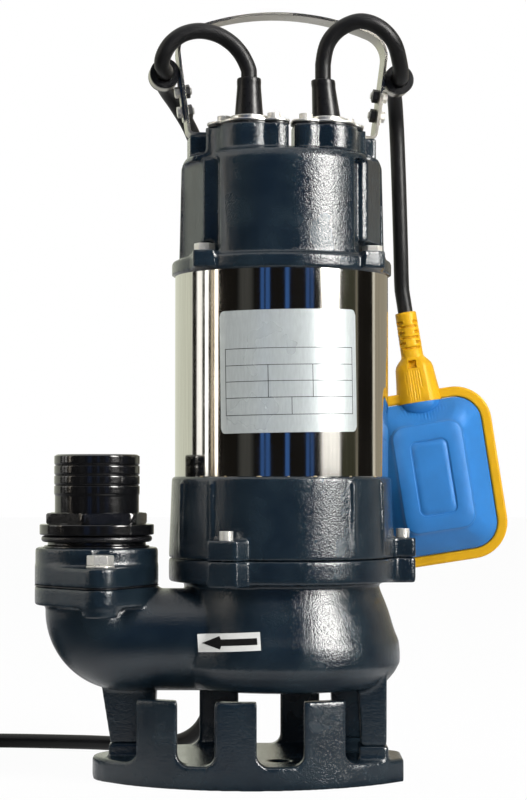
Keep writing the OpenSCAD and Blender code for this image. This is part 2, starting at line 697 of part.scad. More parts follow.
// --- Cable glands ---
gland_gasket_t = 1.2;
plate_s = 1.6;
gland_z = cover_top + gland_gasket_t;
boot_z = gland_z + plate_s;
boot_h = 24.6;
boot_r0 = 8.2;
boot_r1 = 6.5;
boot_lean = -2.2;
module gland_gaskets() {
  color(rubber_black) rotate(cap_yaw) for (s = [-1, 1]) translate([s * gland_x, -gland_y, cover_top]) difference() {
    intersection() {
      mirror([s > 0 ? 1 : 0, 0, 0]) linear_extrude(gland_gasket_t) gland_outline(0);
      translate([s > 0 ? -gland_x + 0.8 : -60, -40, -1]) cube([60 + gland_x - 0.8, 80, 9]);
    }
    for (e = [-1, 1]) rotate(-s * gland_turn) translate([e * gland_half, 0, -1]) cylinder(r = 2.2, h = 5);
    translate([0, 0, -1]) cylinder(r = cable_d / 2 + 2, h = 4);
  }
}
module gland_plates() {
  color(steel) rotate(cap_yaw) for (s = [-1, 1]) translate([s * gland_x, -gland_y, gland_z]) difference() {
    union() {
      intersection() {
        mirror([s > 0 ? 1 : 0, 0, 0]) linear_extrude(plate_s) gland_outline(0.6);
        translate([s > 0 ? -gland_x + 0.8 : -60, -40, -1]) cube([60 + gland_x - 0.8, 80, 9]);
      }
      cylinder(r = boot_r0 + 2.4, h = plate_s + 3);
    }
    for (e = [-1, 1]) rotate(-s * gland_turn) translate([e * gland_half, 0, -1]) cylinder(r = 2.2, h = 5);
    translate([0, 0, plate_s - eps]) cylinder(r = boot_r0 + fit, h = 9);
    translate([0, 0, -1]) cylinder(r = cable_d / 2 + 2, h = 9);
  }
}
module gland_bolts() {
  color(steel) rotate(cap_yaw) for (s = [-1, 1], e = [-1, 1])
    translate([s * gland_x, -gland_y, gland_z + plate_s]) rotate(-s * gland_turn) translate([e * gland_half, 0, 0])
      difference() {
        union() {
          cylinder(r = 3.8, h = 4);
          translate([0, 0, -12]) cylinder(r = 2, h = 12 + eps);
        }
        translate([0, 0, 2]) cylinder(d = 3 / cos(30), h = 4, $fn = 6);
      }
}
module cable_boot(s, lean) {
  color(rubber_black) rotate(cap_yaw) translate([s * gland_x, -gland_y, boot_z]) hull() {
    cylinder(r = boot_r0, h = 4, $fn = 32);
    translate([lean, 0, boot_h - 0.5]) cylinder(r = boot_r1, h = 0.5, $fn = 32);
  }
}
module power_cable_boot() { cable_boot(-1, 0); }
module float_cable_boot() { cable_boot(1, boot_lean); }

// --- Handle ---
function arc(c, r, a0, a1, n) = [for (i = [0:n]) c + r * [cos(a0 + (a1 - a0) * i / n), sin(a0 + (a1 - a0) * i / n)]];
leg_tilt = 7.5;
shoulder_r = 14;
foot_r = 3;
crown_r = 140;
handle_z = lug_z;
crown = handle_z + handle_h;
// Middle line of a leg, and the centres of the bends that run into it
function leg_x(z) = handle_half + (z - handle_z) * tan(leg_tilt);
foot_bend = [leg_x(handle_z + strip_t / 2 + foot_r) - foot_r / cos(leg_tilt), handle_z + strip_t / 2 + foot_r];
crown_mid = crown - strip_t / 2 - crown_r;
slope = tan(leg_tilt);
shoulder_base = leg_x(crown_mid) - shoulder_r / cos(leg_tilt);
shoulder_reach = crown_r - shoulder_r;
shoulder_up = (sqrt(pow(shoulder_base * slope, 2)
  - (1 + slope * slope) * (pow(shoulder_base, 2) - pow(shoulder_reach, 2))) - shoulder_base * slope) / (1 + slope * slope);
shoulder_mid = [shoulder_base + slope * shoulder_up, crown_mid + shoulder_up];
crown_half = asin(shoulder_mid[0] / shoulder_reach);
// Right half of the strip's middle line, from the foot's inner end to the crown
half_line = concat(
  [[handle_half - 12, handle_z + strip_t / 2]],
  arc(foot_bend, foot_r, -90, -leg_tilt, 4),
  arc(shoulder_mid, shoulder_r, -leg_tilt, 90 - crown_half, 10),
  [for (i = [9:-1:1]) [crown_r * sin(crown_half * i / 10), crown_mid + crown_r * cos(crown_half * i / 10)]]);
strip_line = concat(half_line, [[0, crown - strip_t / 2]],
  [for (i = [len(half_line) - 1:-1:0]) [-half_line[i][0], half_line[i][1]]]);
function side_of(p, i, d) = let (t = unit(p[min(i + 1, len(p) - 1)] - p[max(i - 1, 0)])) p[i] + d * [-t[1], t[0]];
module strip_outline() {
  n = len(strip_line);
  polygon(concat([for (i = [0:n - 1]) side_of(strip_line, i, strip_t / 2)],
    [for (i = [n - 1:-1:0]) side_of(strip_line, i, -strip_t / 2)]));
}
// Places children on a leg's outer face: x outwards, z up along the leg, from the foot
module on_leg(s, up) {
  rotate(cap_yaw) mirror([s > 0 ? 0 : 1, 0, 0]) translate([handle_half, 0, handle_z]) rotate([0, leg_tilt, 0])
    translate([0, 0, up]) children();
}
clip_up = [14.5, 26];
module handle() {
  color(steel) difference() {
    rotate(cap_yaw) translate([0, strip_w / 2, 0]) rotate([90, 0, 0]) linear_extrude(strip_w) strip_outline();
    for (s = [-1, 1], u = clip_up) on_leg(s, u) rotate([0, 90, 0]) translate([0, 0, -10]) cylinder(r = 2.1, h = 20);
    for (s = [-1, 1]) rotate(cap_yaw) translate([s * foot_x, 0, handle_z - 1]) {
      cylinder(r = 2.6, h = 5);
      translate([0, 0, 1]) cylinder(r1 = 2.6, r2 = 4.7, h = 2.1);
    }
  }
}
module handle_screws() {
  color(steel) for (s = [-1, 1]) rotate(cap_yaw) translate([s * foot_x, 0, handle_z]) union() {
    cylinder(r1 = 2.5, r2 = 4.5, h = 2);
    translate([0, 0, -8]) cylinder(r = 2.5, h = 8 + eps);
  }
}

// --- Cable clips on the handle's legs ---
clip_in = cable_d / 2 + 0.3;
rubber_t = 3;
clip_r = clip_in + rubber_t + 0.8;
clip_w = 12;
band_w = 8;
sleeve_lip = 2.4;
clip_ring_up = 36.8;
clip_off = strip_t / 2 + clip_r + 0.02;
module at_clip(s) { on_leg(s, clip_ring_up) translate([clip_off, 0, 0]) rotate([90, 0, 0]) children(); }
module clip_band(s) {
  color(steel) {
    difference() {
      union() {
        at_clip(s) translate([0, 0, -band_w / 2]) cylinder(r = clip_r, h = band_w);
        on_leg(s, 9) translate([strip_t / 2 + 0.02, -band_w / 2, 0]) cube([1.2, band_w, clip_ring_up - 9]);
      }
      at_clip(s) translate([0, 0, -clip_w]) cylinder(r = clip_r - 0.8, h = 2 * clip_w);
      for (u = clip_up) on_leg(s, u) rotate([0, 90, 0]) translate([0, 0, -10]) cylinder(r = 2.1, h = 20);
    }
  }
}
module clip_rubber(s) {
  color(rubber_black) at_clip(s) difference() {
    union() {
      translate([0, 0, -clip_w / 2]) cylinder(r = clip_r - 0.85, h = clip_w);
      for (e = [-1, 1]) translate([0, 0, e * (band_w / 2 + 0.05 + sleeve_lip / 2) - sleeve_lip / 2])
        cylinder(r = clip_r, h = sleeve_lip);
    }
    translate([0, 0, -clip_w]) cylinder(r = clip_in, h = 2 * clip_w);
  }
}
module power_clip() { clip_band(-1); }
module float_clip() { clip_band(1); }
module power_clip_rubber() { clip_rubber(-1); }
module float_clip_rubber() { clip_rubber(1); }
module clip_bolts() {
  color(steel) for (s = [-1, 1], u = clip_up) on_leg(s, u) translate([strip_t / 2 + 1.25, 0, 0])
    rotate([0, 90, 0]) union() {
      cylinder(d = 6.6, h = 2.6, $fn = 6);
      translate([0, 0, -strip_t - 5.5]) cylinder(d = 4, h = strip_t + 5.5 + eps);
    }
}
module clip_nuts() {
  color(steel) for (s = [-1, 1], u = clip_up) on_leg(s, u) translate([-strip_t / 2 - 0.05, 0, 0]) rotate([0, -90, 0])
    difference() {
      cylinder(d = 7 / cos(30), h = 3.2, $fn = 6);
      translate([0, 0, -1]) cylinder(r = 2.03, h = 6);
    }
}

// --- Cables ---
// Middle of a clip's ring and the clip's direction towards the back
function turned(p, a) = [p[0] * cos(a) - p[1] * sin(a), p[0] * sin(a) + p[1] * cos(a), p[2]];
function clip_mid(s) = turned([
  s * (handle_half + clip_ring_up * sin(leg_tilt) + clip_off * cos(leg_tilt)), 0,
  handle_z + clip_ring_up * cos(leg_tilt) - clip_off * sin(leg_tilt)], cap_yaw);
clip_dir = turned([0, 1, 0], cap_yaw);
function boot_top(s, lean) = turned([s * gland_x + lean, -gland_y, boot_z + boot_h], cap_yaw);
power_out = boot_top(-1, 0);
float_out = boot_top(1, boot_lean);
power_hold = clip_mid(-1);
float_hold = clip_mid(1);
up = [0, 0, 1];

// Coil: a round bundle that spirals in and out, four layers high
coil_mid = [-248, 62];
coil_layers = 4;
coil_pitch = cable_d + 0.6;
layer_turns = (coil_turns - 0.25) / coil_layers;
coil_out = coil_r + layer_turns * coil_pitch / 2;
coil_steps = 24;
// Distance from the nearest reversal of the spiral, in turns, for t turns from the start
function from_turn(t) = abs(t - layer_turns * floor(t / layer_turns + 0.5));
function layer_of(t) = floor(t / layer_turns);
function spiral_in(t) = let (k = layer_of(t), f = t - k * layer_turns) k % 2 == 0 ? f : layer_turns - f;
function coil_radius(t) = t > coil_layers * layer_turns
  ? coil_out + (t - coil_layers * layer_turns) * coil_pitch : coil_out - spiral_in(t) * coil_pitch;
// Height climbs a layer in the half turn round each reversal
function climb(t, k) = max(0, min(1, (t - k * layer_turns) * 2 + 0.5));
function coil_height(t) = cable_d / 2 + coil_pitch * (climb(t, 1) + climb(t, 2) + climb(t, 3));
function coil_point(t) = [coil_mid[0] + coil_radius(t) * cos(90 + 360 * t),
  coil_mid[1] + coil_radius(t) * sin(90 + 360 * t), coil_height(t)];
coil_start = coil_point(0);
coil_points = concat([coil_start + [cable_d, 0, 0], coil_start], [for (i = [1:coil_steps * coil_turns]) coil_point(i / coil_steps)],
  [coil_point(coil_turns) + [0, -cable_d, 0]]);
coil_end = coil_points[len(coil_points) - 1];
coil_gap = min([for (i = [0:len(coil_points) - 1], j = [0:len(coil_points) - 1])
  if (j - i > coil_steps / 2) norm(coil_points[i] - coil_points[j])]) - cable_d;
assert(coil_gap > 0.4);
echo(coil_least_gap_mm = coil_gap);
plug_r = 19;
plug_back = coil_end + [-4, -62, plug_r + 0.1 - coil_end[2]];
tail_route = [coil_end, coil_end + [0, -cable_d, 0], coil_end + [-1, -26, -5], coil_end + [-3, -44, -12],
  plug_back + [0, cable_d, 0], plug_back];

gland_top = [75, 55, 270];
float_down = [sin(float_tilt), 0, -cos(float_tilt)];
power_loop_route = concat([power_out, power_out + 4 * up],
  [[-20.3, -28, 405.2], [-23.6, -28.3, 411], [-28.9, -29, 416.6], [-36.5, -30.5, 420.9], [-46, -32.3, 422.6],
    [-55, -33.6, 420.7], [-62, -34, 415.8], [-66.3, -32.8, 409.6], [-67.8, -28, 404.4]],
  [power_hold - (clip_w / 2 + 1) * clip_dir - 3 * clip_dir, power_hold]);
power_run_route = concat([power_hold, power_hold + (clip_w / 2 + 1 + cable_d) * clip_dir],
  [[-68, 22, 399], [-61.5, 36, 391], [-53.5, 47.5, 378], [-47.5, 56.5, 360], [-44.5, 63, 332], [-44, 69, 285],
    [-44, 74, 230], [-44, 79, 170], [-42, 84, 110], [-41, 90, 60], [-44, 98, 27], [-58, 108, 9], [-85, 116, 4.5],
    [-125, 125, 4.5], [-175, 132.5, 4.5]],
  [coil_start + [3.5 * cable_d, 0, 0], coil_start + [2 * cable_d, 0, 0], coil_start + [cable_d, 0, 0]]);
float_loop_route = concat([float_out, float_out + cable_d * up],
  [[26, -24, 417], [33, -26, 425], [44, -28, 429], [55, -27, 426], [63.5, -23, 418], [67.5, -14, 408]],
  [float_hold - (clip_w / 2 + 1) * clip_dir - 4 * clip_dir, float_hold]);
float_drop_route = concat([float_hold + 0.3 * clip_dir, float_hold + (clip_w / 2 + 1 + cable_d) * clip_dir],
  [[67.5, 36, 397], [69, 46, 387], [70, 50, 372], [71, 51, 345], [72, 52, 310]],
  [gland_top - 1.5 * cable_d * float_down, gland_top]);

module power_cable_loop() { color(rubber_black) tube(through(power_loop_route, 2), cable_d, 10); }
module power_cable_run() { color(rubber_black) tube(through(power_run_route, 2), cable_d, 8); }
module power_cable_coil() { color(rubber_black) tube(coil_points, cable_d, 6); }
module power_cable_tail() { color(rubber_black) tube(through(tail_route, 1), cable_d, 8); }
module float_cable_loop() { color(rubber_black) tube(through(float_loop_route, 2), cable_d, 10); }
module float_cable_drop() { color(rubber_black) tube(through(float_drop_route, 2), cable_d, 10); }

// Two-pin earthed plug, lying on the floor, its pins towards the front
module power_plug() {
  color(rubber_black) translate(plug_back) rotate([90, 0, 0]) difference() {
    rotate_extrude() polygon([[0, 0], [6, 0], [8, 14], [15, 22], [plug_r, 26], [plug_r, 38], [17, 40], [17, 48], [0, 48]]);
    for (s = [-1, 1]) translate([s * 9.5, 0, 40]) cylinder(r = 2.4 + 0.02, h = 20);
  }
}
module plug_pins() {
  color(steel) translate(plug_back) rotate([90, 0, 0]) for (s = [-1, 1]) translate([s * 9.5, 0, 40]) union() {
    cylinder(r = 2.4, h = 25);
    translate([0, 0, 25]) sphere(r = 2.4, $fn = 32);
  }
}

// --- Float switch: hangs below its gland, tilted in the picture plane ---
grip_h = 22;
neck_h = 26;
rim_t = 10;
rim_w = 6;
float_corner = 22;
// Children are drawn with z down from the gland's top, x across the float, y through it
module at_float() {
  translate(gland_top) rotate([0, -float_tilt, 0]) mirror([0, 0, 1]) children();
}
body_z = grip_h + neck_h;
module rounded(w, h, r) {
  union() {
    square([w - 2 * r, h], center = true);
    square([w, h - 2 * r], center = true);
    for (x = [-1, 1], y = [-1, 1]) translate([x * (w / 2 - r), y * (h / 2 - r)]) circle(r, $fn = 64);
  }
}
// An upright rounded slab of the float, its middle plane at y = y0
module float_slab(w, h, r, y0, t) {
  translate([0, y0, body_z + float_len / 2]) rotate([90, 0, 0]) linear_extrude(t) rounded(w, h, r);
}
module float_gland() {
  color(amber) at_float() difference() {
    union() {
      for (i = [0:4]) translate([0, 0, 1 + i * 4.2]) cylinder(r1 = 6.2 + i * 0.1, r2 = 6.5 + i * 0.1, h = 2.7);
      cylinder(r = 5.2, h = grip_h);
      translate([0, 0, grip_h - 1]) rotate_extrude() polygon([[0, 0], [6.8, 0], [7.4, 3], [10.6, 8], [12, 12],
        [neck_r, neck_h + 0.7], [0, neck_h + 0.7]]);
    }
    translate([-3.5, -neck_r, grip_h + 3]) cube([5, 6, 5]);
  }
}
neck_r = 13.7;
module float_half(s) {
  depth = float_t / 2;
  color(float_blue) at_float() mirror([0, s < 0 ? 0 : 1, 0]) difference() {
    union() {
      hull() {
        float_slab(float_w - 2 * rim_w - 0.6, float_len - 2 * rim_w - 0.6, float_corner - rim_w, -0.05, rim_t / 2 + 1);
        float_slab(float_w - 42, float_len - 42, 8, -depth + 2.4, 1);
      }
      intersection() {
        translate([0, 0, body_z + rim_w - 1]) sphere(r = 12.5, $fn = 40);
        translate([-20, -20, body_z + rim_w + 0.3]) cube([40, 19.95, 40]);
      }
      hull() {
        float_slab(float_w - 42, float_len - 42, 6, -depth + 3, 1);
        float_slab(float_w - 44, float_len - 44, 5, -depth + 1, 1);
      }
    }
    // A shallow frame line round the middle of the panel
    difference() {
      float_slab(float_w - 60, float_len - 62, 4, -depth + 0.8, 2);
      float_slab(float_w - 61.6, float_len - 63.6, 3.4, -depth + 2, 4);
    }
    translate([0, 0, pocket_z + pocket_l / 2]) cube([pocket_w, 2 * pocket_d, pocket_l], center = true);
  }
}
pocket_w = 26;
pocket_d = 11;
pocket_l = 44;
pocket_z = body_z + 22;
ball_r = 9;
switch_l = 18;
module float_front() { float_half(-1); }
module float_back() { float_half(1); }
module float_rim() {
  color(amber) at_float() difference() {
    float_slab(float_w, float_len, float_corner, rim_t / 2, rim_t);
    float_slab(float_w - 2 * rim_w, float_len - 2 * rim_w, float_corner - rim_w, rim_t, 2 * rim_t);
  }
}
// Micro switch and the ball that works it, in the float's pocket
module float_switch() {
  color("dimgray") at_float() translate([0, 0, pocket_z + switch_l / 2 + fit]) union() {
    cube([20, 9, switch_l], center = true);
    translate([2, 0, switch_l / 2]) cube([3, 4, 2], center = true);
  }
}
module float_weight_ball() {
  color(steel) at_float() translate([0, 0, pocket_z + pocket_l - ball_r - fit]) sphere(r = ball_r, $fn = 48);
}

strainer_base();
base_screws();
volute_casing();
outlet_gasket();
outlet_flange();
outlet_bolts();
hose_tail();
hose_tail_seal();
casing_gasket();
impeller();
impeller_nut();
lower_housing();
housing_bolts();
seal_seat();
seal_head();
seal_spring();
lower_bearing();
lower_bearing_inner();
motor_shaft();
rotor_core();
stator_core();
stator_windings();
motor_shell();
shell_seals();
tie_bolts();
tie_bolt_washers();
upper_bearing();
upper_bearing_inner();
top_cover();
capacitor();
gland_gaskets();
gland_plates();
gland_bolts();
power_cable_boot();
float_cable_boot();
handle();
handle_screws();
power_clip();
float_clip();
power_clip_rubber();
float_clip_rubber();
clip_bolts();
clip_nuts();
power_cable_loop();
power_cable_run();
power_cable_coil();
power_cable_tail();
power_plug();
plug_pins();
float_cable_loop();
float_cable_drop();
float_gland();
float_front();
float_back();
float_rim();
float_switch();
float_weight_ball();
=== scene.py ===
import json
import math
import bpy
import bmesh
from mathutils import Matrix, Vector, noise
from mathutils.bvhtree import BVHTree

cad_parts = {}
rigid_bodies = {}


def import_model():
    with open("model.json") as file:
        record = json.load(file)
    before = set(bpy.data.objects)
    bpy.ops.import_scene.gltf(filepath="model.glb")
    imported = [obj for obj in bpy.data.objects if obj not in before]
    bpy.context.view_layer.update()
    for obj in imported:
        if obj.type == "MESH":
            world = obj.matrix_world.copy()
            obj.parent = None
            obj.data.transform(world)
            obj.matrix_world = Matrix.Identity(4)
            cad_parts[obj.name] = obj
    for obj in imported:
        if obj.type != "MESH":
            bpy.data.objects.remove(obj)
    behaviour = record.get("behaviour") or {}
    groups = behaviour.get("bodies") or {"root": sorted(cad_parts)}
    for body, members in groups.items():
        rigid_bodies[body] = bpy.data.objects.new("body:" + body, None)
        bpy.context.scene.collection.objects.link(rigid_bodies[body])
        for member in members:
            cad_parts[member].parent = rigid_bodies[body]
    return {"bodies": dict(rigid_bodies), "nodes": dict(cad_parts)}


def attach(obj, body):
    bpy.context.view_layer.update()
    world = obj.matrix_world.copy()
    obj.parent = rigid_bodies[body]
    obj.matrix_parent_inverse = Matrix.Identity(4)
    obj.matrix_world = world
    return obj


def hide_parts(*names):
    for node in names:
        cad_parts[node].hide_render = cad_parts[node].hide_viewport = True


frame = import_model()

# %% [markdown]
# # A submersible sewage pump, dressed in Blender
# The engineering model gives every piece its size and its place. This lesson gives the same
# pieces their looks: glossy enamel on rough castings, a mirror-bright stainless shell, rubber
# cables that arch out of their glands, and a blue and yellow float.
# Blender works in metres. The pieces are typed in millimetres and scaled by MM, and the camera and
# the studio in metres. The motor's axis stands on the origin, and the front faces -Y.

MM = 0.001
nodes, bodies = frame["nodes"], frame["bodies"]
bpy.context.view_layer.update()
scene = bpy.context.scene
print("CAD pieces:", len(nodes), "bodies:", sorted(bodies))

# %% [markdown]
# ## The camera
# A long lens from 1.24 m, a little above the outlet, tipped up by two degrees. A long lens keeps
# the castings' upright edges nearly parallel, as in a catalogue picture.

# %% Camera
camera_at, camera_tilt = (-0.0104, -1.236, 0.171), 2.064
camera_data = bpy.data.cameras.new("camera")
camera_data.sensor_width = 36
camera_data.lens = 96.75
camera = bpy.data.objects.new("camera", camera_data)
camera.location = camera_at
camera.rotation_euler = (math.radians(90 + camera_tilt), 0, 0)
scene.collection.objects.link(camera)
scene.camera = camera
print("camera at", camera_at, "looks up by", camera_tilt, "degrees")

# %% [markdown]
# ## The routes of the cables
# A rubber cable can't bend sharply, so its middle line is a smooth curve through a few chosen
# points: a Catmull-Rom curve passes through each of them. Both ends have a short straight
# stretch, because the boot and the plug hold the cable straight there.

# %% Smooth routes
def smooth_route(points, steps):
    """Points of a curve through the given ones, in metres; they are given in millimetres."""
    p = [Vector(q) for q in points]
    out = [p[0]]
    for i in range(1, len(p) - 2):
        a, b, c, d = p[i - 1], p[i], p[i + 1], p[i + 2]
        for j in range(steps):
            t = j / steps
            out.append((2 * b + (c - a) * t + (2 * a - 5 * b + 4 * c - d) * t * t
                        + (3 * b - a - 3 * c + d) * t ** 3) / 2)
    return [q * MM for q in out + [p[-2], p[-1]]]


def length_of(points):
    """Length of a line of points, in their own unit."""
    return sum((b - a).length for a, b in zip(points, points[1:]))


cap_yaw = math.radians(8)


def turned(x, y, z):
    """A point of the top cover and the handle, which are turned by cap_yaw against the base."""
    return Vector((x * math.cos(cap_yaw) - y * math.sin(cap_yaw),
                   x * math.sin(cap_yaw) + y * math.cos(cap_yaw), z))


cable_d = 9
leg_tilt = math.radians(7.5)
handle_half, handle_z, strip_t = 54, 366.5, 1.6
clip_r, clip_gap, clip_up = 8.6, 0.02, 36.8
clip_off = strip_t / 2 + clip_r + clip_gap
clip_dir = turned(0, 1, 0)


def clip_middle(side):
    """Middle of the clip's ring on the handle's left (-1) or right (1) leg."""
    return turned(side * (handle_half + clip_up * math.sin(leg_tilt) + clip_off * math.cos(leg_tilt)), 0,
                  handle_z + clip_up * math.cos(leg_tilt) - clip_off * math.sin(leg_tilt))


boot_x, boot_y, boot_top_z, boot_lean = 22.3, -25, 396.4, 2.2
power_out, float_out = (turned(-boot_x, boot_y, boot_top_z),
                        turned(boot_x - boot_lean, boot_y, boot_top_z))
power_hold, float_hold = clip_middle(-1), clip_middle(1)
up = Vector((0, 0, 1))
for hold in (power_hold, float_hold):
    print("a clip holds its cable at", [round(v, 1) for v in hold])

# %% The coil's turns
coil_mid, coil_r, coil_turns, coil_layers, coil_gap = (-248, 62), 54, 12.25, 4, 0.6
coil_pitch = cable_d + coil_gap
layer_turns = (coil_turns - 0.25) / coil_layers
coil_outside = coil_r + layer_turns * coil_pitch / 2


def coil_point(t):
    """A point of the coil after t turns: it spirals in and out and climbs a layer at each return."""
    k = math.floor(t / layer_turns)
    f = t - k * layer_turns
    spiral = f if k % 2 == 0 else layer_turns - f
    r = coil_outside - spiral * coil_pitch
    if t > coil_layers * layer_turns:
        r = coil_outside + (t - coil_layers * layer_turns) * coil_pitch
    climbs = sum(max(0, min(1, (t - n * layer_turns) * 2 + 0.5)) for n in range(1, coil_layers))
    a = math.radians(90 + 360 * t)
    return Vector((coil_mid[0] + r * math.cos(a), coil_mid[1] + r * math.sin(a),
                   cable_d / 2 + coil_pitch * climbs))


coil_start, coil_last = coil_point(0), coil_point(coil_turns)
coil_end = coil_last + Vector((0, -cable_d, 0))
plug_middle_z = 19.1
plug_back = coil_end + Vector((-4, -62, plug_middle_z - coil_end.z))
print("coil starts at", [round(v, 1) for v in coil_start])

# %% The power cable from its boot to its plug
loop = [power_out, power_out + 4 * up, (-20.3, -28, 405.2), (-23.6, -28.3, 411), (-28.9, -29, 416.6),
        (-36.5, -30.5, 420.9), (-46, -32.3, 422.6), (-55, -33.6, 420.7), (-62, -34, 415.8),
        (-66.3, -32.8, 409.6), (-67.8, -28, 404.4), power_hold - 10 * clip_dir, power_hold]
run = [power_hold, power_hold + 16 * clip_dir, (-68, 22, 399), (-61.5, 36, 391), (-53.5, 47.5, 378),
       (-47.5, 56.5, 360), (-44.5, 63, 332), (-44, 69, 285), (-44, 74, 230), (-44, 79, 170),
       (-42, 84, 110), (-41, 90, 60), (-44, 98, 27), (-58, 108, 9), (-85, 116, 4.5), (-125, 125, 4.5),
       (-175, 132.5, 4.5), coil_start + Vector((3.5 * cable_d, 0, 0)),
       coil_start + Vector((2 * cable_d, 0, 0)), coil_start + Vector((cable_d, 0, 0))]
tail = [coil_end, coil_end + Vector((0, -cable_d, 0)), coil_end + Vector((-1, -26, -5)),
        coil_end + Vector((-3, -44, -12)), plug_back + Vector((0, cable_d, 0)), plug_back]
route_steps, coil_steps, tail_steps = 8, 36, 5
coil_line = [coil_point(i / coil_steps) * MM for i in range(int(coil_steps * coil_turns) + 1)]
power_line = (smooth_route(loop, route_steps)[:-1] + smooth_route(run, route_steps)[:-1]
              + coil_line + smooth_route(tail, tail_steps))
print("power cable:", round(length_of(power_line), 3), "m")

# %% The float's cable, before and after its clip
float_tilt = math.radians(8.8)
gland_top = Vector((75, 55, 270))
float_down = Vector((math.sin(float_tilt), 0, -math.cos(float_tilt)))
arch = [float_out, float_out + cable_d * up, (26, -24, 417), (33, -26, 425), (44, -28, 429),
        (55, -27, 426), (63.5, -23, 418), (67.5, -14, 408), float_hold - 11 * clip_dir, float_hold]
drop = [float_hold, float_hold + 16 * clip_dir, (67.5, 36, 397), (69, 46, 387), (70, 50, 372),
        (71, 51, 345), (72, 52, 310), gland_top - 1.5 * cable_d * float_down, gland_top]
arch_line, drop_line = smooth_route(arch, route_steps), smooth_route(drop, route_steps)
print("float cable:", round(length_of(arch_line) + length_of(drop_line), 3), "m")

# %% [markdown]
# ## Cables as curves
# A cable is a curve object with a round bevel: one line of points and a radius. It stays light,
# and its thickness is exact everywhere. The bevel is one metre and each point scales it down to
# the cable's radius, because the box that Blender reports for a curve counts the points' radii.

# %% Draw the cables
def tube(name, points, radius, sides=10):
    """A round curve through points in metres."""
    data = bpy.data.curves.new(name, "CURVE")
    data.dimensions = "3D"
    data.bevel_depth = 1
    data.bevel_resolution = sides
    data.use_fill_caps = True
    spline = data.splines.new("POLY")
    spline.points.add(len(points) - 1)
    for point, middle in zip(spline.points, points):
        point.co = (*middle, 1)
        point.radius = radius
    spline.use_smooth = True
    obj = bpy.data.objects.new(name, data)
    scene.collection.objects.link(obj)
    return obj


power_cable = tube("power_cable", power_line, cable_d * MM / 2, 6)
float_cable_arch = tube("float_cable_arch", arch_line, cable_d * MM / 2)
float_cable_hanging = tube("float_cable_hanging", drop_line, cable_d * MM / 2)
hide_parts("power_cable_loop", "power_cable_run", "power_cable_coil", "power_cable_tail")
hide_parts("float_cable_loop")
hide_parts("float_cable_drop")
for cable, body in ((power_cable, "pump"), (float_cable_arch, "pump"), (float_cable_hanging, "float")):
    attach(cable, body)
print("cables:", len(power_line) + len(arch_line) + len(drop_line), "points")

# %% [markdown]
# ## A small kit for finishes
# Each finish is a Principled shader. What changes over a surface, such as the ripple of enamel or
# the drag lines of polishing, comes from noise that is measured in the object's own metres, so it
# has its true scale. Values that are the same everywhere are typed into the shader itself.

# %% Finish helpers
def finish_material(name, colour, roughness, metallic=0.0):
    """A new material with its node tree and its shader."""
    material = bpy.data.materials.new(name)
    material.use_nodes = True
    shader = material.node_tree.nodes["Principled BSDF"]
    shader.inputs["Base Color"].default_value = (*colour, 1)
    shader.inputs["Roughness"].default_value = roughness
    shader.inputs["Metallic"].default_value = metallic
    material.diffuse_color = (*colour, 1)
    return material, material.node_tree, shader


def place(tree, stretch=(1, 1, 1)):
    """The object's own coordinates in metres, stretched along its axes if asked."""
    coordinate = tree.nodes.new("ShaderNodeTexCoord")
    mapping = tree.nodes.new("ShaderNodeMapping")
    mapping.inputs["Scale"].default_value = stretch
    tree.links.new(coordinate.outputs["Object"], mapping.inputs["Vector"])
    return mapping.outputs["Vector"]


print("material helpers ready")

# %% Noise, ranges and bumps
def cloud(tree, vector, size, detail=2.0, roughness=0.5):
    """Noise whose lumps are about size metres across."""
    node = tree.nodes.new("ShaderNodeTexNoise")
    node.inputs["Scale"].default_value = 1 / size
    node.inputs["Detail"].default_value = detail
    node.inputs["Roughness"].default_value = roughness
    tree.links.new(vector, node.inputs["Vector"])
    return node.outputs["Fac"]


def remap(tree, value, low, high, to_low, to_high):
    """The value, with low to high spread to to_low to to_high and cut off beyond."""
    node = tree.nodes.new("ShaderNodeMapRange")
    sockets = ("From Min", "From Max", "To Min", "To Max")
    for socket, number in zip(sockets, (low, high, to_low, to_high)):
        node.inputs[socket].default_value = number
    tree.links.new(value, node.inputs["Value"])
    return node.outputs["Result"]


def tint(tree, value, dark, light):
    """A colour between dark, where the value is 0, and light, where it is 1."""
    node = tree.nodes.new("ShaderNodeMix")
    node.data_type = "RGBA"
    node.inputs["A"].default_value = (*dark, 1)
    node.inputs["B"].default_value = (*light, 1)
    tree.links.new(value, node.inputs["Factor"])
    return node.outputs["Result"]


def vary_colour(tree, shader, lumps, dark, light):
    """Dark to light by a noise, whose middle stretch is spread over the whole range."""
    tree.links.new(tint(tree, remap(tree, lumps, 0.35, 0.65, 0, 1), dark, light),
                   shader.inputs["Base Color"])


def vary_roughness(tree, shader, lumps, smooth, rough):
    """Smooth to rough by a noise, in the same way."""
    tree.links.new(remap(tree, lumps, 0.3, 0.7, smooth, rough), shader.inputs["Roughness"])


def bumps(tree, shader, heights):
    """Bump from a list of (height, strength, distance in metres), one on top of the other."""
    normal = None
    for height, strength, distance in heights:
        node = tree.nodes.new("ShaderNodeBump")
        node.inputs["Strength"].default_value = strength
        node.inputs["Distance"].default_value = distance
        tree.links.new(height, node.inputs["Height"])
        if normal is not None:
            tree.links.new(normal, node.inputs["Normal"])
        normal = node.outputs["Normal"]
    tree.links.new(normal, shader.inputs["Normal"])


print("finish kit ready")

# %% [markdown]
# ## The finishes
# The castings are grey iron, dipped in thick glossy enamel. It follows the sand mould's grain, so
# its surface ripples like orange peel and breaks up every highlight into glints.

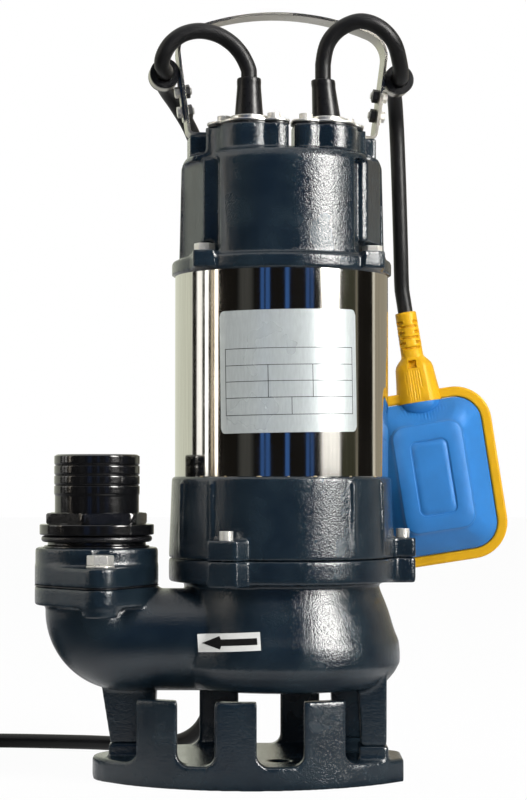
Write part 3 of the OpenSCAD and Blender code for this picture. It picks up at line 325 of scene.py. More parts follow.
# %% Enamel on cast iron
def enamel_finish():
    """Nearly black blue enamel: broad patches, soft sags and a fine peel."""
    material, tree, shader = finish_material("enamel", (0.009, 0.017, 0.025), 0.1)
    shader.inputs["Specular IOR Level"].default_value = 0.65
    where = place(tree)
    broad = cloud(tree, where, 0.020)
    peel = cloud(tree, where, 0.0011, 2, 0.7)
    sag = cloud(tree, where, 0.006, 1)
    vary_colour(tree, shader, broad, (0.006, 0.012, 0.019), (0.012, 0.021, 0.029))
    vary_roughness(tree, shader, broad, 0.06, 0.13)
    bumps(tree, shader, [(sag, 0.3, 0.0004), (peel, 1.0, 0.00026)])
    return material


enamel = enamel_finish()
print("made", enamel.name)

# %% Metals
def polished_finish(name, colour, roughness, streak, metallic=1.0, smear=0.4):
    """Polished metal: smears over a mirror and faint drag lines, drawn out upright below streak 1."""
    material, tree, shader = finish_material(name, colour, roughness, metallic)
    lines = cloud(tree, place(tree, (1, 1, streak)), 0.0012, 3, 0.6)
    smears = cloud(tree, place(tree), 0.03, 3)
    vary_colour(tree, shader, lines, tuple(c * 0.9 for c in colour), colour)
    vary_roughness(tree, shader, smears, roughness * (1 - smear / 2), roughness * (1 + smear * 1.5))
    bumps(tree, shader, [(lines, 0.04, 0.00005)])
    return material


shell_steel = polished_finish("shell_steel", (0.66, 0.645, 0.61), 0.07, 0.02)
strip_steel = polished_finish("strip_steel", (0.44, 0.42, 0.37), 0.26, 0.05)
plate_steel = polished_finish("plate_steel", (0.8, 0.79, 0.75), 0.36, 1)
label_foil = polished_finish("label_foil", (0.54, 0.58, 0.58), 0.27, 0.2, 0.35, 0.1)
fastener_steel = polished_finish("fastener_steel", (0.74, 0.72, 0.67), 0.34, 1, 0.55)
print("metals ready")

# %% Rubber and plastics
def moulded_finish(name, colour, roughness, grain_size, depth, spread=0.12, shine=0.5):
    """Moulded plastic or rubber: a fine grain depth metres deep, slightly uneven gloss and colour."""
    material, tree, shader = finish_material(name, colour, roughness)
    shader.inputs["Specular IOR Level"].default_value = shine
    where = place(tree)
    skin = cloud(tree, where, grain_size, 3, 0.6)
    patches = cloud(tree, where, 0.012)
    dark, light = (tuple(c * k for c in colour) for k in (1 - spread, 1 + spread))
    vary_colour(tree, shader, patches, dark, light)
    vary_roughness(tree, shader, skin, roughness * 0.8, roughness * 1.25)
    bumps(tree, shader, [(skin, 0.3, depth)])
    return material


cable_rubber = moulded_finish("cable_rubber", (0.006, 0.006, 0.0065), 0.42, 0.0008, 0.0001, shine=0.3)
boot_rubber = moulded_finish("boot_rubber", (0.006, 0.006, 0.0065), 0.32, 0.0012, 0.0001, shine=0.35)
tail_plastic = moulded_finish("tail_plastic", (0.005, 0.005, 0.0055), 0.14, 0.003, 0.00005, 0.06, 0.65)
seal_rubber = moulded_finish("seal_rubber", (0.008, 0.008, 0.009), 0.3, 0.001, 0.00005)
amber_plastic = moulded_finish("amber_plastic", (0.6, 0.32, 0.004), 0.36, 0.0012, 0.00006, 0.05, 0.22)
blue_plastic = moulded_finish("blue_plastic", (0.02, 0.155, 0.43), 0.36, 0.0012, 0.00006, 0.05, 0.35)
white_plastic = moulded_finish("white_plastic", (0.7, 0.7, 0.68), 0.4, 0.001, 0.00005, 0.03)
label_print = moulded_finish("label_print", (0.004, 0.004, 0.0045), 0.6, 0.002, 0.00001, shine=0.2)
sealant = moulded_finish("sealant", (0.42, 0.33, 0.2), 0.5, 0.001, 0.00005)
dark_moulding = moulded_finish("dark_moulding", (0.03, 0.03, 0.032), 0.4, 0.001, 0.00005)
print("plastics ready")

# %% Inner metals
def inner_finish(name, colour, roughness, metallic, size, stretch=(1, 1, 1)):
    """Iron, copper or ceramic inside the motor, with a plain grain."""
    material, tree, shader = finish_material(name, colour, roughness, metallic)
    grain = cloud(tree, place(tree, stretch), size, 3, 0.6)
    dark, light = tuple(c * 0.75 for c in colour), tuple(min(1, c * 1.2) for c in colour)
    tree.links.new(tint(tree, grain, dark, light), shader.inputs["Base Color"])
    bumps(tree, shader, [(grain, 0.3, 0.0001)])
    return material


iron = inner_finish("bare_iron", (0.12, 0.12, 0.125), 0.5, 0.8, 0.0012)
laminations = inner_finish("laminations", (0.16, 0.16, 0.165), 0.4, 0.9, 0.0007, (0.05, 0.05, 1))
copper = inner_finish("varnished_copper", (0.5, 0.2, 0.07), 0.3, 0.8, 0.0008, (1, 1, 0.1))
ceramic = inner_finish("ceramic", (0.85, 0.83, 0.78), 0.2, 0.0, 0.002)
print("inner finishes ready")

# %% [markdown]
# ## Give every CAD piece its finish
# A piece whose shape is right as it is keeps its mesh and gets the finish of its material. The
# mesh's own normals keep the engineering edges crisp.

# %% Dress the CAD nodes
dress = {
    enamel: ["strainer_base", "volute_casing", "outlet_flange", "lower_housing", "top_cover"],
    shell_steel: ["motor_shell", "gland_plates"],
    strip_steel: ["handle", "power_clip", "float_clip"],
    fastener_steel: ["base_screws", "outlet_bolts", "impeller_nut", "housing_bolts", "seal_spring",
                     "lower_bearing", "lower_bearing_inner", "motor_shaft", "tie_bolts",
                     "tie_bolt_washers", "upper_bearing", "upper_bearing_inner", "gland_bolts",
                     "handle_screws", "clip_bolts", "clip_nuts", "plug_pins", "float_weight_ball"],
    seal_rubber: ["outlet_gasket", "hose_tail_seal", "casing_gasket", "shell_seals", "gland_gaskets",
                  "power_clip_rubber", "float_clip_rubber"],
    boot_rubber: ["power_cable_boot", "float_cable_boot", "power_plug"],
    tail_plastic: ["hose_tail"],
    cable_rubber: ["power_cable_loop", "power_cable_run", "power_cable_coil", "power_cable_tail",
                   "float_cable_loop", "float_cable_drop"],
    iron: ["impeller", "rotor_core"],
    laminations: ["stator_core"],
    copper: ["stator_windings"],
    ceramic: ["seal_seat"],
    dark_moulding: ["seal_head", "float_switch"],
    white_plastic: ["capacitor"],
    amber_plastic: ["float_gland", "float_rim"],
    blue_plastic: ["float_front", "float_back"],
}
for material, names in dress.items():
    for name in names:
        nodes[name].data.materials.clear()
        nodes[name].data.materials.append(material)
for cable in (power_cable, float_cable_arch, float_cable_hanging):
    cable.data.materials.append(cable_rubber)
undressed = sorted(set(nodes) - {n for names in dress.values() for n in names})
print("nodes without a finish:", undressed)

# %% [markdown]
# ## Castings
# A casting has no sharp edge: the pattern is rounded so that the sand leaves it cleanly, and
# enamel rounds it more. The drawing's solid is turned into small even voxels and relaxed a few
# times. Inner corners fill up to fillets and outer edges go round. The cover first has a pocket
# carved away over each of its two front tie bolts, and gets a rib beside it and a lug under it, so
# that these forms are rounded together with the rest.

# %% Meshes, welding and modifiers
def mesh_object(name, corners, faces):
    """An object in the scene from corners in metres and faces."""
    data = bpy.data.meshes.new(name)
    data.from_pydata(corners, [], faces)
    obj = bpy.data.objects.new(name, data)
    scene.collection.objects.link(obj)
    return obj


def prism(name, outline, bottom, top):
    """A closed upright prism over an outline, in millimetres; its faces look outwards."""
    count = len(outline)
    if sum(a[0] * b[1] - b[0] * a[1] for a, b in zip(outline, outline[1:] + outline[:1])) < 0:
        outline = outline[::-1]
    corners = [(x * MM, y * MM, z * MM) for z in (bottom, top) for x, y in outline]
    ends = [tuple(range(count))[::-1], tuple(range(count, 2 * count))]
    sides = [(i, (i + 1) % count, count + (i + 1) % count, count + i) for i in range(count)]
    return mesh_object(name, corners, ends + sides)


def weld(data, melt=0.0):
    """Join the drawing's doubled corners, and melt edges that turn by less than melt degrees."""
    mesh = bmesh.new()
    mesh.from_mesh(data)
    bmesh.ops.remove_doubles(mesh, verts=mesh.verts, dist=2e-6)
    if melt:
        bmesh.ops.dissolve_limit(mesh, angle_limit=math.radians(melt), verts=mesh.verts, edges=mesh.edges)
    mesh.to_mesh(data)
    mesh.free()


def apply_modifiers(piece, material):
    """Give the piece the mesh that its modifiers make, in one material."""
    bpy.context.view_layer.update()
    final = bpy.data.meshes.new_from_object(
        piece.evaluated_get(bpy.context.evaluated_depsgraph_get()))
    piece.modifiers.clear()
    piece.data = final
    final.materials.clear()
    final.materials.append(material)


print("mesh helpers ready")

# %% Voxel skin
def cast_skin(name, node, material, voxel, relax, cuts=(), ribs=()):
    """A node's solid, less the cuts and with the ribs, as a skin of voxels smoothed relax times."""
    data = nodes[node].data.copy()
    casting = bpy.data.objects.new(name, data)
    scene.collection.objects.link(casting)
    weld(data)
    for tool in (*cuts, *ribs):
        carve = casting.modifiers.new(tool.name, "BOOLEAN")
        carve.operation = "DIFFERENCE" if tool in cuts else "UNION"
        carve.solver = "EXACT"
        carve.object = tool
    remesh = casting.modifiers.new("voxels", "REMESH")
    remesh.mode = "VOXEL"
    remesh.voxel_size = voxel * MM
    relaxing = casting.modifiers.new("relax", "SMOOTH")
    relaxing.factor = 0.5
    relaxing.iterations = relax
    apply_modifiers(casting, material)
    for tool in (*cuts, *ribs):
        bpy.data.objects.remove(tool)
    for polygon in casting.data.polygons:
        polygon.use_smooth = True
    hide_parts(node)
    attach(casting, "pump")
    print(name, "has", len(casting.data.polygons), "faces")
    return casting


print("casting tool ready")

# %% The cover's pockets, ribs and lugs
pocket_z, rib_z, lug_z = (296.5, 350), (304, 351), (287.4, 297)
cover_cuts = [
    prism("left_pocket", [(-28, -70), (-30.7, -50.4), (-34.7, -45.6), (-34.7, -29.5), (-44, -28.6),
                          (-51.3, -14), (-56.6, -3), (-66, -3), (-66, -70)], *pocket_z),
    prism("right_pocket", [(40.5, -70), (40.5, -34), (43.6, -25), (56.6, -5), (66, -5), (66, -70)],
          *pocket_z)]
cover_ribs = [
    prism("left_rib", [(-36, -12), (-36, -29.2), (-44, -28.6), (-51.3, -14), (-56.4, -3), (-45, -3)],
          *rib_z),
    prism("right_rib", [(40, -18), (44.4, -24), (44.6, -29.5), (48.2, -27.7), (56.4, -10), (56, -3),
                        (44, -3)], *rib_z),
    prism("left_lug", [(-49.4, -51.2), (-37.6, -52.6), (-34, -36), (-52, -30)], *lug_z),
    prism("right_lug", [(45.6, -47.4), (53.4, -44.6), (57.4, -41.8), (58, -26), (42, -34)], *lug_z)]
print(len(cover_cuts), "pockets,", len(cover_ribs), "ribs and lugs")

# %% The five castings
castings = [
    cast_skin("base_casting", "strainer_base", enamel, 1.2, 5),
    cast_skin("volute_skin", "volute_casing", enamel, 1.0, 12),
    cast_skin("flange_casting", "outlet_flange", enamel, 1.0, 5),
    cast_skin("housing_casting", "lower_housing", enamel, 0.9, 4),
    cast_skin("cover_casting", "top_cover", enamel, 1.0, 4, cover_cuts, cover_ribs),
]
print(len(castings), "castings")

# %% [markdown]
# ## Tools for the other pieces
# Most pieces here are either turned on a lathe, cut from bar or sheet, or moulded round a
# rounded rectangle. One small tool makes each kind: a turned skin from a profile, rings joined
# to a skin, and the drawing's own solid with its sharp edges eased by a fine chamfer.

# %% Piece maker
def finished_piece(name, points, faces, material, body, slot, *replaced, crease=32):
    """A piece from points in millimetres, smooth but for edges sharper than crease degrees."""
    data = bpy.data.meshes.new(name)
    mesh = bmesh.new()
    corners = [mesh.verts.new(Vector(p) * MM) for p in points]
    for face in faces:
        mesh.faces.new([corners[i] for i in face])
    bmesh.ops.remove_doubles(mesh, verts=mesh.verts, dist=1e-6)
    bmesh.ops.recalc_face_normals(mesh, faces=mesh.faces)
    mesh.to_mesh(data)
    mesh.free()
    for polygon in data.polygons:
        polygon.use_smooth = True
    data.set_sharp_from_angle(angle=math.radians(crease))
    data.materials.append(material)
    piece = bpy.data.objects.new(name, data)
    scene.collection.objects.link(piece)
    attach(piece, body)
    if replaced:
        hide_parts(*replaced)
    return piece


print("piece maker ready")

# %% Rings
def ring_skin(rings, closed_ends=True, loop=False):
    """Points and faces of a skin over rings of equally many points. Its ends are closed or, where they
    lie in a neighbouring piece, left open; with loop the last ring joins the first."""
    count = len(rings[0])
    points = [p for ring in rings for p in ring]
    faces = []
    spans = len(rings) if loop else len(rings) - 1
    for i in range(spans):
        a, b = i * count, (i + 1) % len(rings) * count
        for k in range(count):
            n = (k + 1) % count
            faces.append((a + k, a + n, b + n, b + k))
    if closed_ends and not loop:
        faces.append(tuple(range(count)))
        faces.append(tuple(range((len(rings) - 1) * count, len(rings) * count)))
    return points, faces


def at(matrix, rings):
    """Rings moved to where a matrix says."""
    return [[matrix @ p for p in ring] for ring in rings]


print("ring tools ready")

# %% Turned profiles
def eased(corners, radius, steps=3):
    """A profile whose corners are rounded by about radius. A curve takes up to share of the lengths
    beside it, and a point lead before and after it keeps them straight."""
    share, lead = 0.4, 0.2
    corners = [Vector(c) for c in corners]
    out = [corners[0]]
    for a, p, b in zip(corners, corners[1:], corners[2:]):
        into = min(radius, (a - p).length * share)
        away = min(radius, (b - p).length * share)
        back, on = (a - p).normalized(), (b - p).normalized()
        start, end = p + back * into, p + on * away
        out.append(start + back * into * lead)
        for i in range(steps + 1):
            t = i / steps
            out.append(start.lerp(p, t).lerp(p.lerp(end, t), t))
        out.append(end + on * away * lead)
    return out + [corners[-1]]


def turned_rings(profile, steps, flats=None):
    """Rings of a profile of (radius, height); flats caps the radius, as a function of the angle."""
    rings = []
    for r, z in profile:
        ring = []
        for k in range(steps):
            a = math.tau * k / steps
            reach = r if flats is None else min(r, flats(a))
            ring.append(Vector((reach * math.cos(a), reach * math.sin(a), z)))
        rings.append(ring)
    return rings


def hexagon(across, turn):
    """Distance of a hexagon's side from its middle, by angle; across is the width over its flats."""
    def side(a):
        """The distance is least in the middle of a flat, and repeats at every sixth of a turn."""
        return across / 2 / math.cos((a - turn + math.pi / 6) % (math.pi / 3) - math.pi / 6)
    return side


print("lathe ready")

# %% Eased edges on the drawing's solids
def eased_solid(name, node, material, width, segments=2):
    """A copy of a drawing's solid with a narrow rounded chamfer along its sharp edges."""
    data = nodes[node].data.copy()
    data.name = name
    for attribute in ("custom_normal", "sharp_edge", "sharp_face"):
        if attribute in data.attributes:
            data.attributes.remove(data.attributes[attribute])
    weld(data, melt=0.8)
    for polygon in data.polygons:
        polygon.use_smooth = True
    piece = bpy.data.objects.new(name, data)
    scene.collection.objects.link(piece)
    chamfer = piece.modifiers.new("chamfer", "BEVEL")
    chamfer.width = width * MM
    chamfer.segments = segments
    chamfer.limit_method = "ANGLE"
    chamfer.angle_limit = math.radians(28)
    chamfer.harden_normals = True
    apply_modifiers(piece, material)
    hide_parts(node)
    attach(piece, "pump")
    return piece


print("chamfer tool ready")

# %% [markdown]
# ## Steel pieces that show
# The handle is bent from rolled strip with its edges broken by hand, and every bolt head has the
# small chamfer that its maker turns on it. A sharp edge would show no highlight at all. The rubber
# sleeves and seals beside them are eased in the same way.

# %% Handle, clips and screws
steel_pieces = [
    eased_solid("handle_strip", "handle", strip_steel, 0.4, 3),
    eased_solid("handle_foot_screws", "handle_screws", fastener_steel, 0.3),
    eased_solid("power_clip_band", "power_clip", strip_steel, 0.25),
    eased_solid("float_clip_band", "float_clip", strip_steel, 0.25),
    eased_solid("clip_screws", "clip_bolts", fastener_steel, 0.35),
    eased_solid("clip_hex_nuts", "clip_nuts", dark_moulding, 0.4),
    eased_solid("gland_screws", "gland_bolts", fastener_steel, 0.35),
    eased_solid("cover_bolts", "tie_bolts", fastener_steel, 0.5),
    eased_solid("cover_washers", "tie_bolt_washers", fastener_steel, 0.25),
    eased_solid("housing_screws", "housing_bolts", fastener_steel, 0.4),
    eased_solid("outlet_screws", "outlet_bolts", fastener_steel, 0.6),
    eased_solid("pins", "plug_pins", fastener_steel, 0.3),
]
rubber_pieces = [
    eased_solid("power_clip_sleeve", "power_clip_rubber", boot_rubber, 0.5, 3),
    eased_solid("float_clip_sleeve", "float_clip_rubber", boot_rubber, 0.5, 3),
    eased_solid("gland_seals", "gland_gaskets", seal_rubber, 0.25),
]
print(len(steel_pieces), "steel pieces,", len(rubber_pieces), "rubber pieces")

# %% [markdown]
# ## Gland plates
# The plates that press the cable boots down are cast in stainless steel and tumbled bright, so
# their edges and the collar round the boot run into each other softly.

# %% Gland plates
gland_clamps = cast_skin("gland_clamps", "gland_plates", plate_steel, 0.45, 4)
print("gland plates in", gland_clamps.data.materials[0].name)

# %% [markdown]
# ## The motor shell
# A thin tube of stainless sheet, rolled, welded and polished on a lathe. It is turned here with
# many steps, since any facet would break its long upright reflections. Both ends tuck under the
# castings.

# %% Shell
shell_r, shell_z, shell_len = 61.2, 171.2, 115.3
sheet_t, end_gap = 1, 0.1
shell_low, shell_high = shell_z + end_gap, shell_z + shell_len - end_gap
shell_profile = eased([(shell_r - sheet_t, shell_low), (shell_r, shell_low), (shell_r, shell_high),
                       (shell_r - sheet_t, shell_high)], 0.3)
shell_rings = turned_rings(shell_profile + [Vector((shell_r - sheet_t, shell_low))], 256)
motor_tube = finished_piece("motor_tube", *ring_skin(shell_rings, False), shell_steel, "pump",
                            "polished_steel", "motor_shell")
print("shell from", shell_low, "to", shell_high, "mm,", len(motor_tube.data.polygons), "faces")

# %% [markdown]
# ## The rating label
# A rectangle of aluminium foil with rounded corners, glued to the shell and printed with an empty
# table. The foil is a real sheet, a tenth of a millimetre thick, and the lines are hair-thin strips
# that lie on it.

# %% Curved patches on the shell
def on_shell(angle, z, off):
    """A point off the shell, at an angle in degrees from the front towards the right."""
    a = math.radians(angle)
    r = shell_r + off
    return Vector((r * math.sin(a), -r * math.cos(a), z))


label_low, label_high = -34.0, 41.8
label_bottom, label_top, label_corner = 195.7, 263.3, 3
label_lean = math.radians(1.0)
glue_t, foil_t, ink_t = 0.03, 0.1, 0.02


def on_label(angle, z, off):
    """A point of the label, which was glued on a little askew."""
    above = z - (label_bottom + label_top) / 2
    beside = math.radians(angle - (label_low + label_high) / 2) * shell_r
    return on_shell(angle - math.degrees(label_lean * above / shell_r), z + label_lean * beside, off)


def shell_patch(name, low, high, bottom, top, corner, off, thick, material, slot, columns):
    """A thin sheet that follows the shell between two angles (from the front) and two heights."""
    deg = math.degrees(corner / shell_r)
    outside, inside = [], []
    for i in range(columns + 1):
        a = low + (high - low) * i / columns
        edge = max(0.0, 1 - min(a - low, high - a) / deg) if corner else 0.0
        cut = corner * (1 - math.sqrt(max(0.0, 1 - edge * edge)))
        outside.append((on_label(a, bottom + cut, off + thick), on_label(a, top - cut, off + thick)))
        inside.append((on_label(a, bottom + cut, off), on_label(a, top - cut, off)))
    rings = [[o[0], o[1], i[1], i[0]] for o, i in zip(outside, inside)]
    return finished_piece(name, *ring_skin(rings), material, "pump", slot)


label = shell_patch("rating_label", label_low, label_high, label_bottom, label_top, label_corner,
                    glue_t, foil_t, label_foil, "polished_steel", 90)
print("label", round(math.radians(label_high - label_low) * shell_r, 1), "mm wide,",
      len(label.data.polygons), "faces")


# %% The printed table
def printed(name, low, high, bottom, top):
    """A strip of print on the label, between two angles and two heights."""
    return shell_patch(name, low, high, bottom, top, 0, glue_t + foil_t, ink_t, label_print,
                       "white_plastic", max(2, int(abs(high - low))))


line_w = 0.35
line_deg = math.degrees(line_w / shell_r)
table_left, table_right = -30.8, 39.2
row_z = [242.0, 232.8, 223.9, 214.9, 205.4]
cell_lines = [(-7.6, 3, 1), (15.6, 3, 1), (4.4, 4, 3)]
table = [printed(f"table_row_{i}", table_left, table_right, z, z + line_w) for i, z in enumerate(row_z)]
table += [printed("table_side_left", table_left, table_left + line_deg, row_z[-1], row_z[0]),
          printed("table_side_right", table_right - line_deg, table_right, row_z[-1], row_z[0])]
table += [printed(f"table_cell_{i}", angle, angle + line_deg, row_z[low], row_z[high])
          for i, (angle, low, high) in enumerate(cell_lines, 1)]
print("table of", len(table), "lines")

# %% [markdown]
# ## Arrow sticker
# A small white sticker on the volute shows which way the impeller turns. The sticker lies on the
# rough enamel, so each of its points is sent straight back onto the casting's skin. The arrow is a
# second sheet, laid over the first.

# %% Sheets that follow the volute
volute = bpy.data.objects["volute_skin"]
volute_tree = BVHTree.FromPolygons([v.co for v in volute.data.vertices],
                                   [tuple(p.vertices) for p in volute.data.polygons])
in_front_m, vinyl_t = -0.3, 0.12


def on_volute(x, z, off):
    """The volute's front at x and z, moved off millimetres towards the viewer."""
    hit = volute_tree.ray_cast(Vector((x * MM, in_front_m, z * MM)), Vector((0, 1, 0)))
    return hit[0] / MM + Vector((0, -off, 0))


def sticker(name, outline_of, columns, rows, off, material):
    """A thin sheet; outline_of(t) gives its lower and upper edge (x, z) at t from 0 to 1."""
    rings = []
    for i in range(columns + 1):
        (x0, z0), (x1, z1) = outline_of(i / columns)
        front = [on_volute(x0 + (x1 - x0) * j / rows, z0 + (z1 - z0) * j / rows, off)
                 for j in range(rows + 1)]
        rings.append(front + [p + Vector((0, vinyl_t, 0)) for p in reversed(front)])
    return finished_piece(name, *ring_skin(rings), material, "pump", "white_plastic")


print("volute tree from", len(volute.data.polygons), "faces")

# %% Sticker and arrow
sticker_x, sticker_z, sticker_lean = -29.3, 81.0, math.radians(3.6)
sticker_half_w, sticker_half_h = 17.3, 4.9
arrow_start, arrow_len, head_share, head_half, stem_half = -15, 30.5, 0.33, 3.6, 1.75


def on_sticker(u, v):
    """A point of the sticker, u mm to the right and v mm up from its middle."""
    return (sticker_x + u * math.cos(sticker_lean) - v * math.sin(sticker_lean),
            sticker_z + u * math.sin(sticker_lean) + v * math.cos(sticker_lean))


def sticker_edge(t):
    """The sticker is a plain rectangle."""
    u = -sticker_half_w + 2 * sticker_half_w * t
    return on_sticker(u, -sticker_half_h), on_sticker(u, sticker_half_h)


def arrow_edge(t):
    """The head widens from its tip at the left, and the stem is straight."""
    u = arrow_start + arrow_len * t
    half = head_half * t / head_share if t < head_share else stem_half
    return on_sticker(u, -half), on_sticker(u, half)


arrow_sticker = sticker("arrow_sticker", sticker_edge, 36, 10, 0.2, white_plastic)
arrow = sticker("arrow_print", arrow_edge, 40, 6, 0.34, label_print)
print("sticker", len(arrow_sticker.data.polygons), "faces, arrow", len(arrow.data.polygons), "faces")

# %% [markdown]
# ## Cable boots
# Each cable leaves through a moulded rubber boot, a slim cone that ends in a rounded lip, so the
# cable doesn't kink where it comes out. The float's boot leans a little towards the middle.

# %% Boots
boot_height = 24.6
boot_base = boot_top_z - boot_height
boot_profile = eased([(4.6, boot_height - 2.5), (4.75, boot_height), (6.7, boot_height),
                      (6.9, boot_height - 2), (6.75, boot_height - 4.5), (7.6, 9), (8.2, 1), (8.2, 0),
                      (4.4, 0)], 0.7, 4)


def boot(name, side, lean, node):
    """A boot on the cover's left (-1) or right (1) gland, whose lip is lean mm off to the right."""
    base = turned(side * boot_x, boot_y, boot_base)
    slide = turned(lean, 0, 0) / boot_height
    rings = [[p + base + slide * p.z for p in ring] for ring in turned_rings(boot_profile, 64)]
    return finished_piece(name, *ring_skin(rings, False), boot_rubber, "pump", "rubber", node)


boots = [boot("power_boot", -1, 0, "power_cable_boot"),
         boot("float_boot", 1, -boot_lean, "float_cable_boot")]
print(len(boots), "boots,", boot_height, "mm high")

# %% [markdown]
# ## Hose tail
# The hose tail is moulded in black plastic: a collar that seals on an O-ring, a hexagon for the
# wrench, a plain neck and four round barbs that grip the hose. The hexagon's corners are turned
# off by a cone, as on any nut.

# %% Hose tail
outlet_at = Matrix.Translation((-104.5, -20, 0))
bore_r, tail_foot, foot_top, collar_bottom = 20, 114.2, 132.8, 138.8
hex_bottom, neck_bottom, barb_bottom, tail_end = 144.7, 151.4, 161.4, 184.0


def tail_piece(name, profile, steps, flats=None):
    """A turned piece of the hose tail, standing on the outlet."""
    rings = at(outlet_at, turned_rings(profile, steps, flats))
    return finished_piece(name, *ring_skin(rings, False), tail_plastic, "pump", "hose_tail_plastic",
                          "hose_tail")


collar_profile = eased([(bore_r, tail_foot), (29.7, tail_foot), (29.7, foot_top), (27.6, 133),
                        (27.6, collar_bottom), (32.2, collar_bottom), (32.2, hex_bottom),
                        (24, hex_bottom)], 0.7)
collar = tail_piece("hose_tail_collar", collar_profile, 128)
print("collar", len(collar.data.polygons), "faces")

# %% The wrench's hexagon
hex_across, hex_turn = 51.4, math.radians(-10)
hex_profile = [(24, hex_bottom - 0.3), (25.5, hex_bottom - 0.3), (28.4, hex_bottom + 0.2),
               (29.5, hex_bottom + 1.1), (29.5, neck_bottom - 1.1), (28.4, neck_bottom - 0.4),
               (25.4, neck_bottom), (23.4, neck_bottom)]
wrench_hex = tail_piece("hose_tail_hexagon", [Vector(p) for p in hex_profile], 192,
                        hexagon(hex_across, hex_turn))
print("hexagon", hex_across, "mm across,", len(wrench_hex.data.polygons), "faces")

# %% Neck and barbs
barb_count = 4
pitch = (tail_end - barb_bottom) / barb_count
barb_profile = [(23.7, neck_bottom - 0.5), (23.7, barb_bottom - 0.5)]
for i in range(barb_count):
    z = barb_bottom + i * pitch
    barb_profile += [(23.9, z), (24.1, z + 0.5), (24.1, z + pitch - 0.9), (23.7, z + pitch - 0.7),
                     (23.3, z + pitch - 0.5)]
barb_profile += [(22.6, tail_end), (bore_r + 0.6, tail_end), (bore_r, tail_end - 1), (bore_r, tail_foot)]
spigot = tail_piece("hose_tail_barbs", eased(barb_profile, 0.6), 128)
print("hose tail ends at", tail_end, "mm,", len(spigot.data.polygons), "faces")

# %% [markdown]
# ## The float
# The float is two blue shells clamped in a yellow frame, all moulded. Its front has a raised
# panel with a shallow frame line, sloping shoulders with fine flutes at the top, and a round
# swelling below the neck that houses the cable's end. Everything is drawn in the float's own
# frame, hanging down from its gland, and then tilted with it. Each half is a skin with no hollow:
# the switch and the ball inside keep the drawing's own solids. The swelling is an open sheet that
# starts inside the front half, and its upper side stays open.

# %% The float's own frame
float_at = (Matrix.Translation(gland_top) @ Matrix.Rotation(-float_tilt, 4, "Y")
            @ Matrix.Diagonal((1, 1, -1, 1)))
float_w, float_len, float_corner, rim_w, body_top = 82, 104, 22, 6, 48
side_points, other_points, corner_points = 84, 24, 12


def rim_outline(inset, y, corner=None):
    """Points round the float at a distance inside its outline; the first stretch is the top side."""
    w, h = float_w / 2 - inset, float_len / 2 - inset
    r = max(1.0, float_corner - inset) if corner is None else corner
    middle_z = body_top + float_len / 2
    sides = [((-w + r, -h), (w - r, -h), (w - r, -h + r)), ((w, -h + r), (w, h - r), (w - r, h - r)),
             ((w - r, h), (-w + r, h), (-w + r, h - r)), ((-w, h - r), (-w, -h + r), (-w + r, -h + r))]
    out = []
    for q, (start, end, centre) in enumerate(sides):
        count = other_points if q else side_points
        for i in range(count + 1):
            t = i / count
            out.append(Vector((start[0] + (end[0] - start[0]) * t, y,
                               middle_z + start[1] + (end[1] - start[1]) * t)))
        for i in range(1, corner_points):
            a = math.radians(-90 + 90 * q + 90 * i / corner_points)
            out.append(Vector((centre[0] + r * math.cos(a), y, middle_z + centre[1] + r * math.sin(a))))
    return out


print("float outline of", len(rim_outline(0, 0)), "points")

# %% Flutes and the round swelling
flute_depth, flute_pitch = 0.5, 1.9
swell_w, swell_out, swell_h, swell_from = 11.5, 9.2, 9.5, 4.8
swell_z = body_top + rim_w + 0.6


def fluted(ring, depth):
    """The top side's points pressed in by fine upright flutes, fading out towards the corners."""
    out = []
    for i, p in enumerate(ring):
        if i <= side_points:
            fade = min(1, 4 * min(i, side_points - i) / side_points)
            wave = 0.5 + 0.5 * math.cos(math.tau * p.x / flute_pitch)
            p = p + Vector((0, math.copysign(1, -p.y) * depth * fade * wave, 0))
        out.append(p)
    return out


def swelling(first):
    """Points and faces of the front's round swelling; first is the number of its first point."""
    around, across = 32, 10
    points = []
    for i in range(across + 1):
        phi = math.radians(90 * i / across)
        for k in range(around + 1):
            theta = math.pi * k / around
            points.append(float_at @ Vector((
                swell_w * math.cos(phi) * math.cos(theta), -swell_from - swell_out * math.sin(phi),
                swell_z + swell_h * math.cos(phi) * math.sin(theta))))
    corners = [first + i * (around + 1) + k for i in range(across) for k in range(around)]
    return points, [(a, a + 1, a + around + 2, a + around + 1) for a in corners]


print("flutes every", flute_pitch, "mm")

# %% Blue shells
# Each step is (distance inside the outline, distance from the middle plane) and, where it is given,
# the corner's radius: the edge in the frame, the shoulder, then the panel and its frame line
edge_steps = [(6.6, 0.3), (6.5, 4.6), (7.1, 5.6), (8.2, 6.4)]
shoulder_in, shoulder_out, shoulder_curve = 11.0, 10.6, 0.92
panel_steps = [(19.4, 17.3, 8.5), (19.9, 18.4, 8), (20.3, 19.3, 7.5), (21.0, 19.8, 7), (29.0, 20.2, 4.6),
               (29.5, 20.1, 4.4), (29.8, 19.5, 4.2), (30.6, 19.4, 4), (31.0, 19.8, 3.8),
               (34.0, 19.9, 2)]


def blue_shell(name, side, node):
    """The front half (side -1), with the swelling, or the back half (side 1)."""
    rings = [rim_outline(inset, side * out) for inset, out in edge_steps]
    edge_inset, edge_out = edge_steps[-1]
    for t in (0.08, 0.2, 0.35, 0.5, 0.65, 0.8, 0.92):
        inset = edge_inset + shoulder_in * t
        out = edge_out + shoulder_out * t ** shoulder_curve
        ring = rim_outline(inset, side * out, max(9.0, float_corner - inset))
        rings.append(fluted(ring, flute_depth) if 0.1 < t < 0.9 else ring)
    rings += [rim_outline(inset, side * out, corner) for inset, out, corner in panel_steps]
    points, faces = ring_skin(at(float_at, rings))
    if side < 0:
        more_points, more_faces = swelling(len(points))
        points, faces = points + more_points, faces + more_faces
    return finished_piece(name, points, faces, blue_plastic, "float", "blue_plastic", node, crease=50)


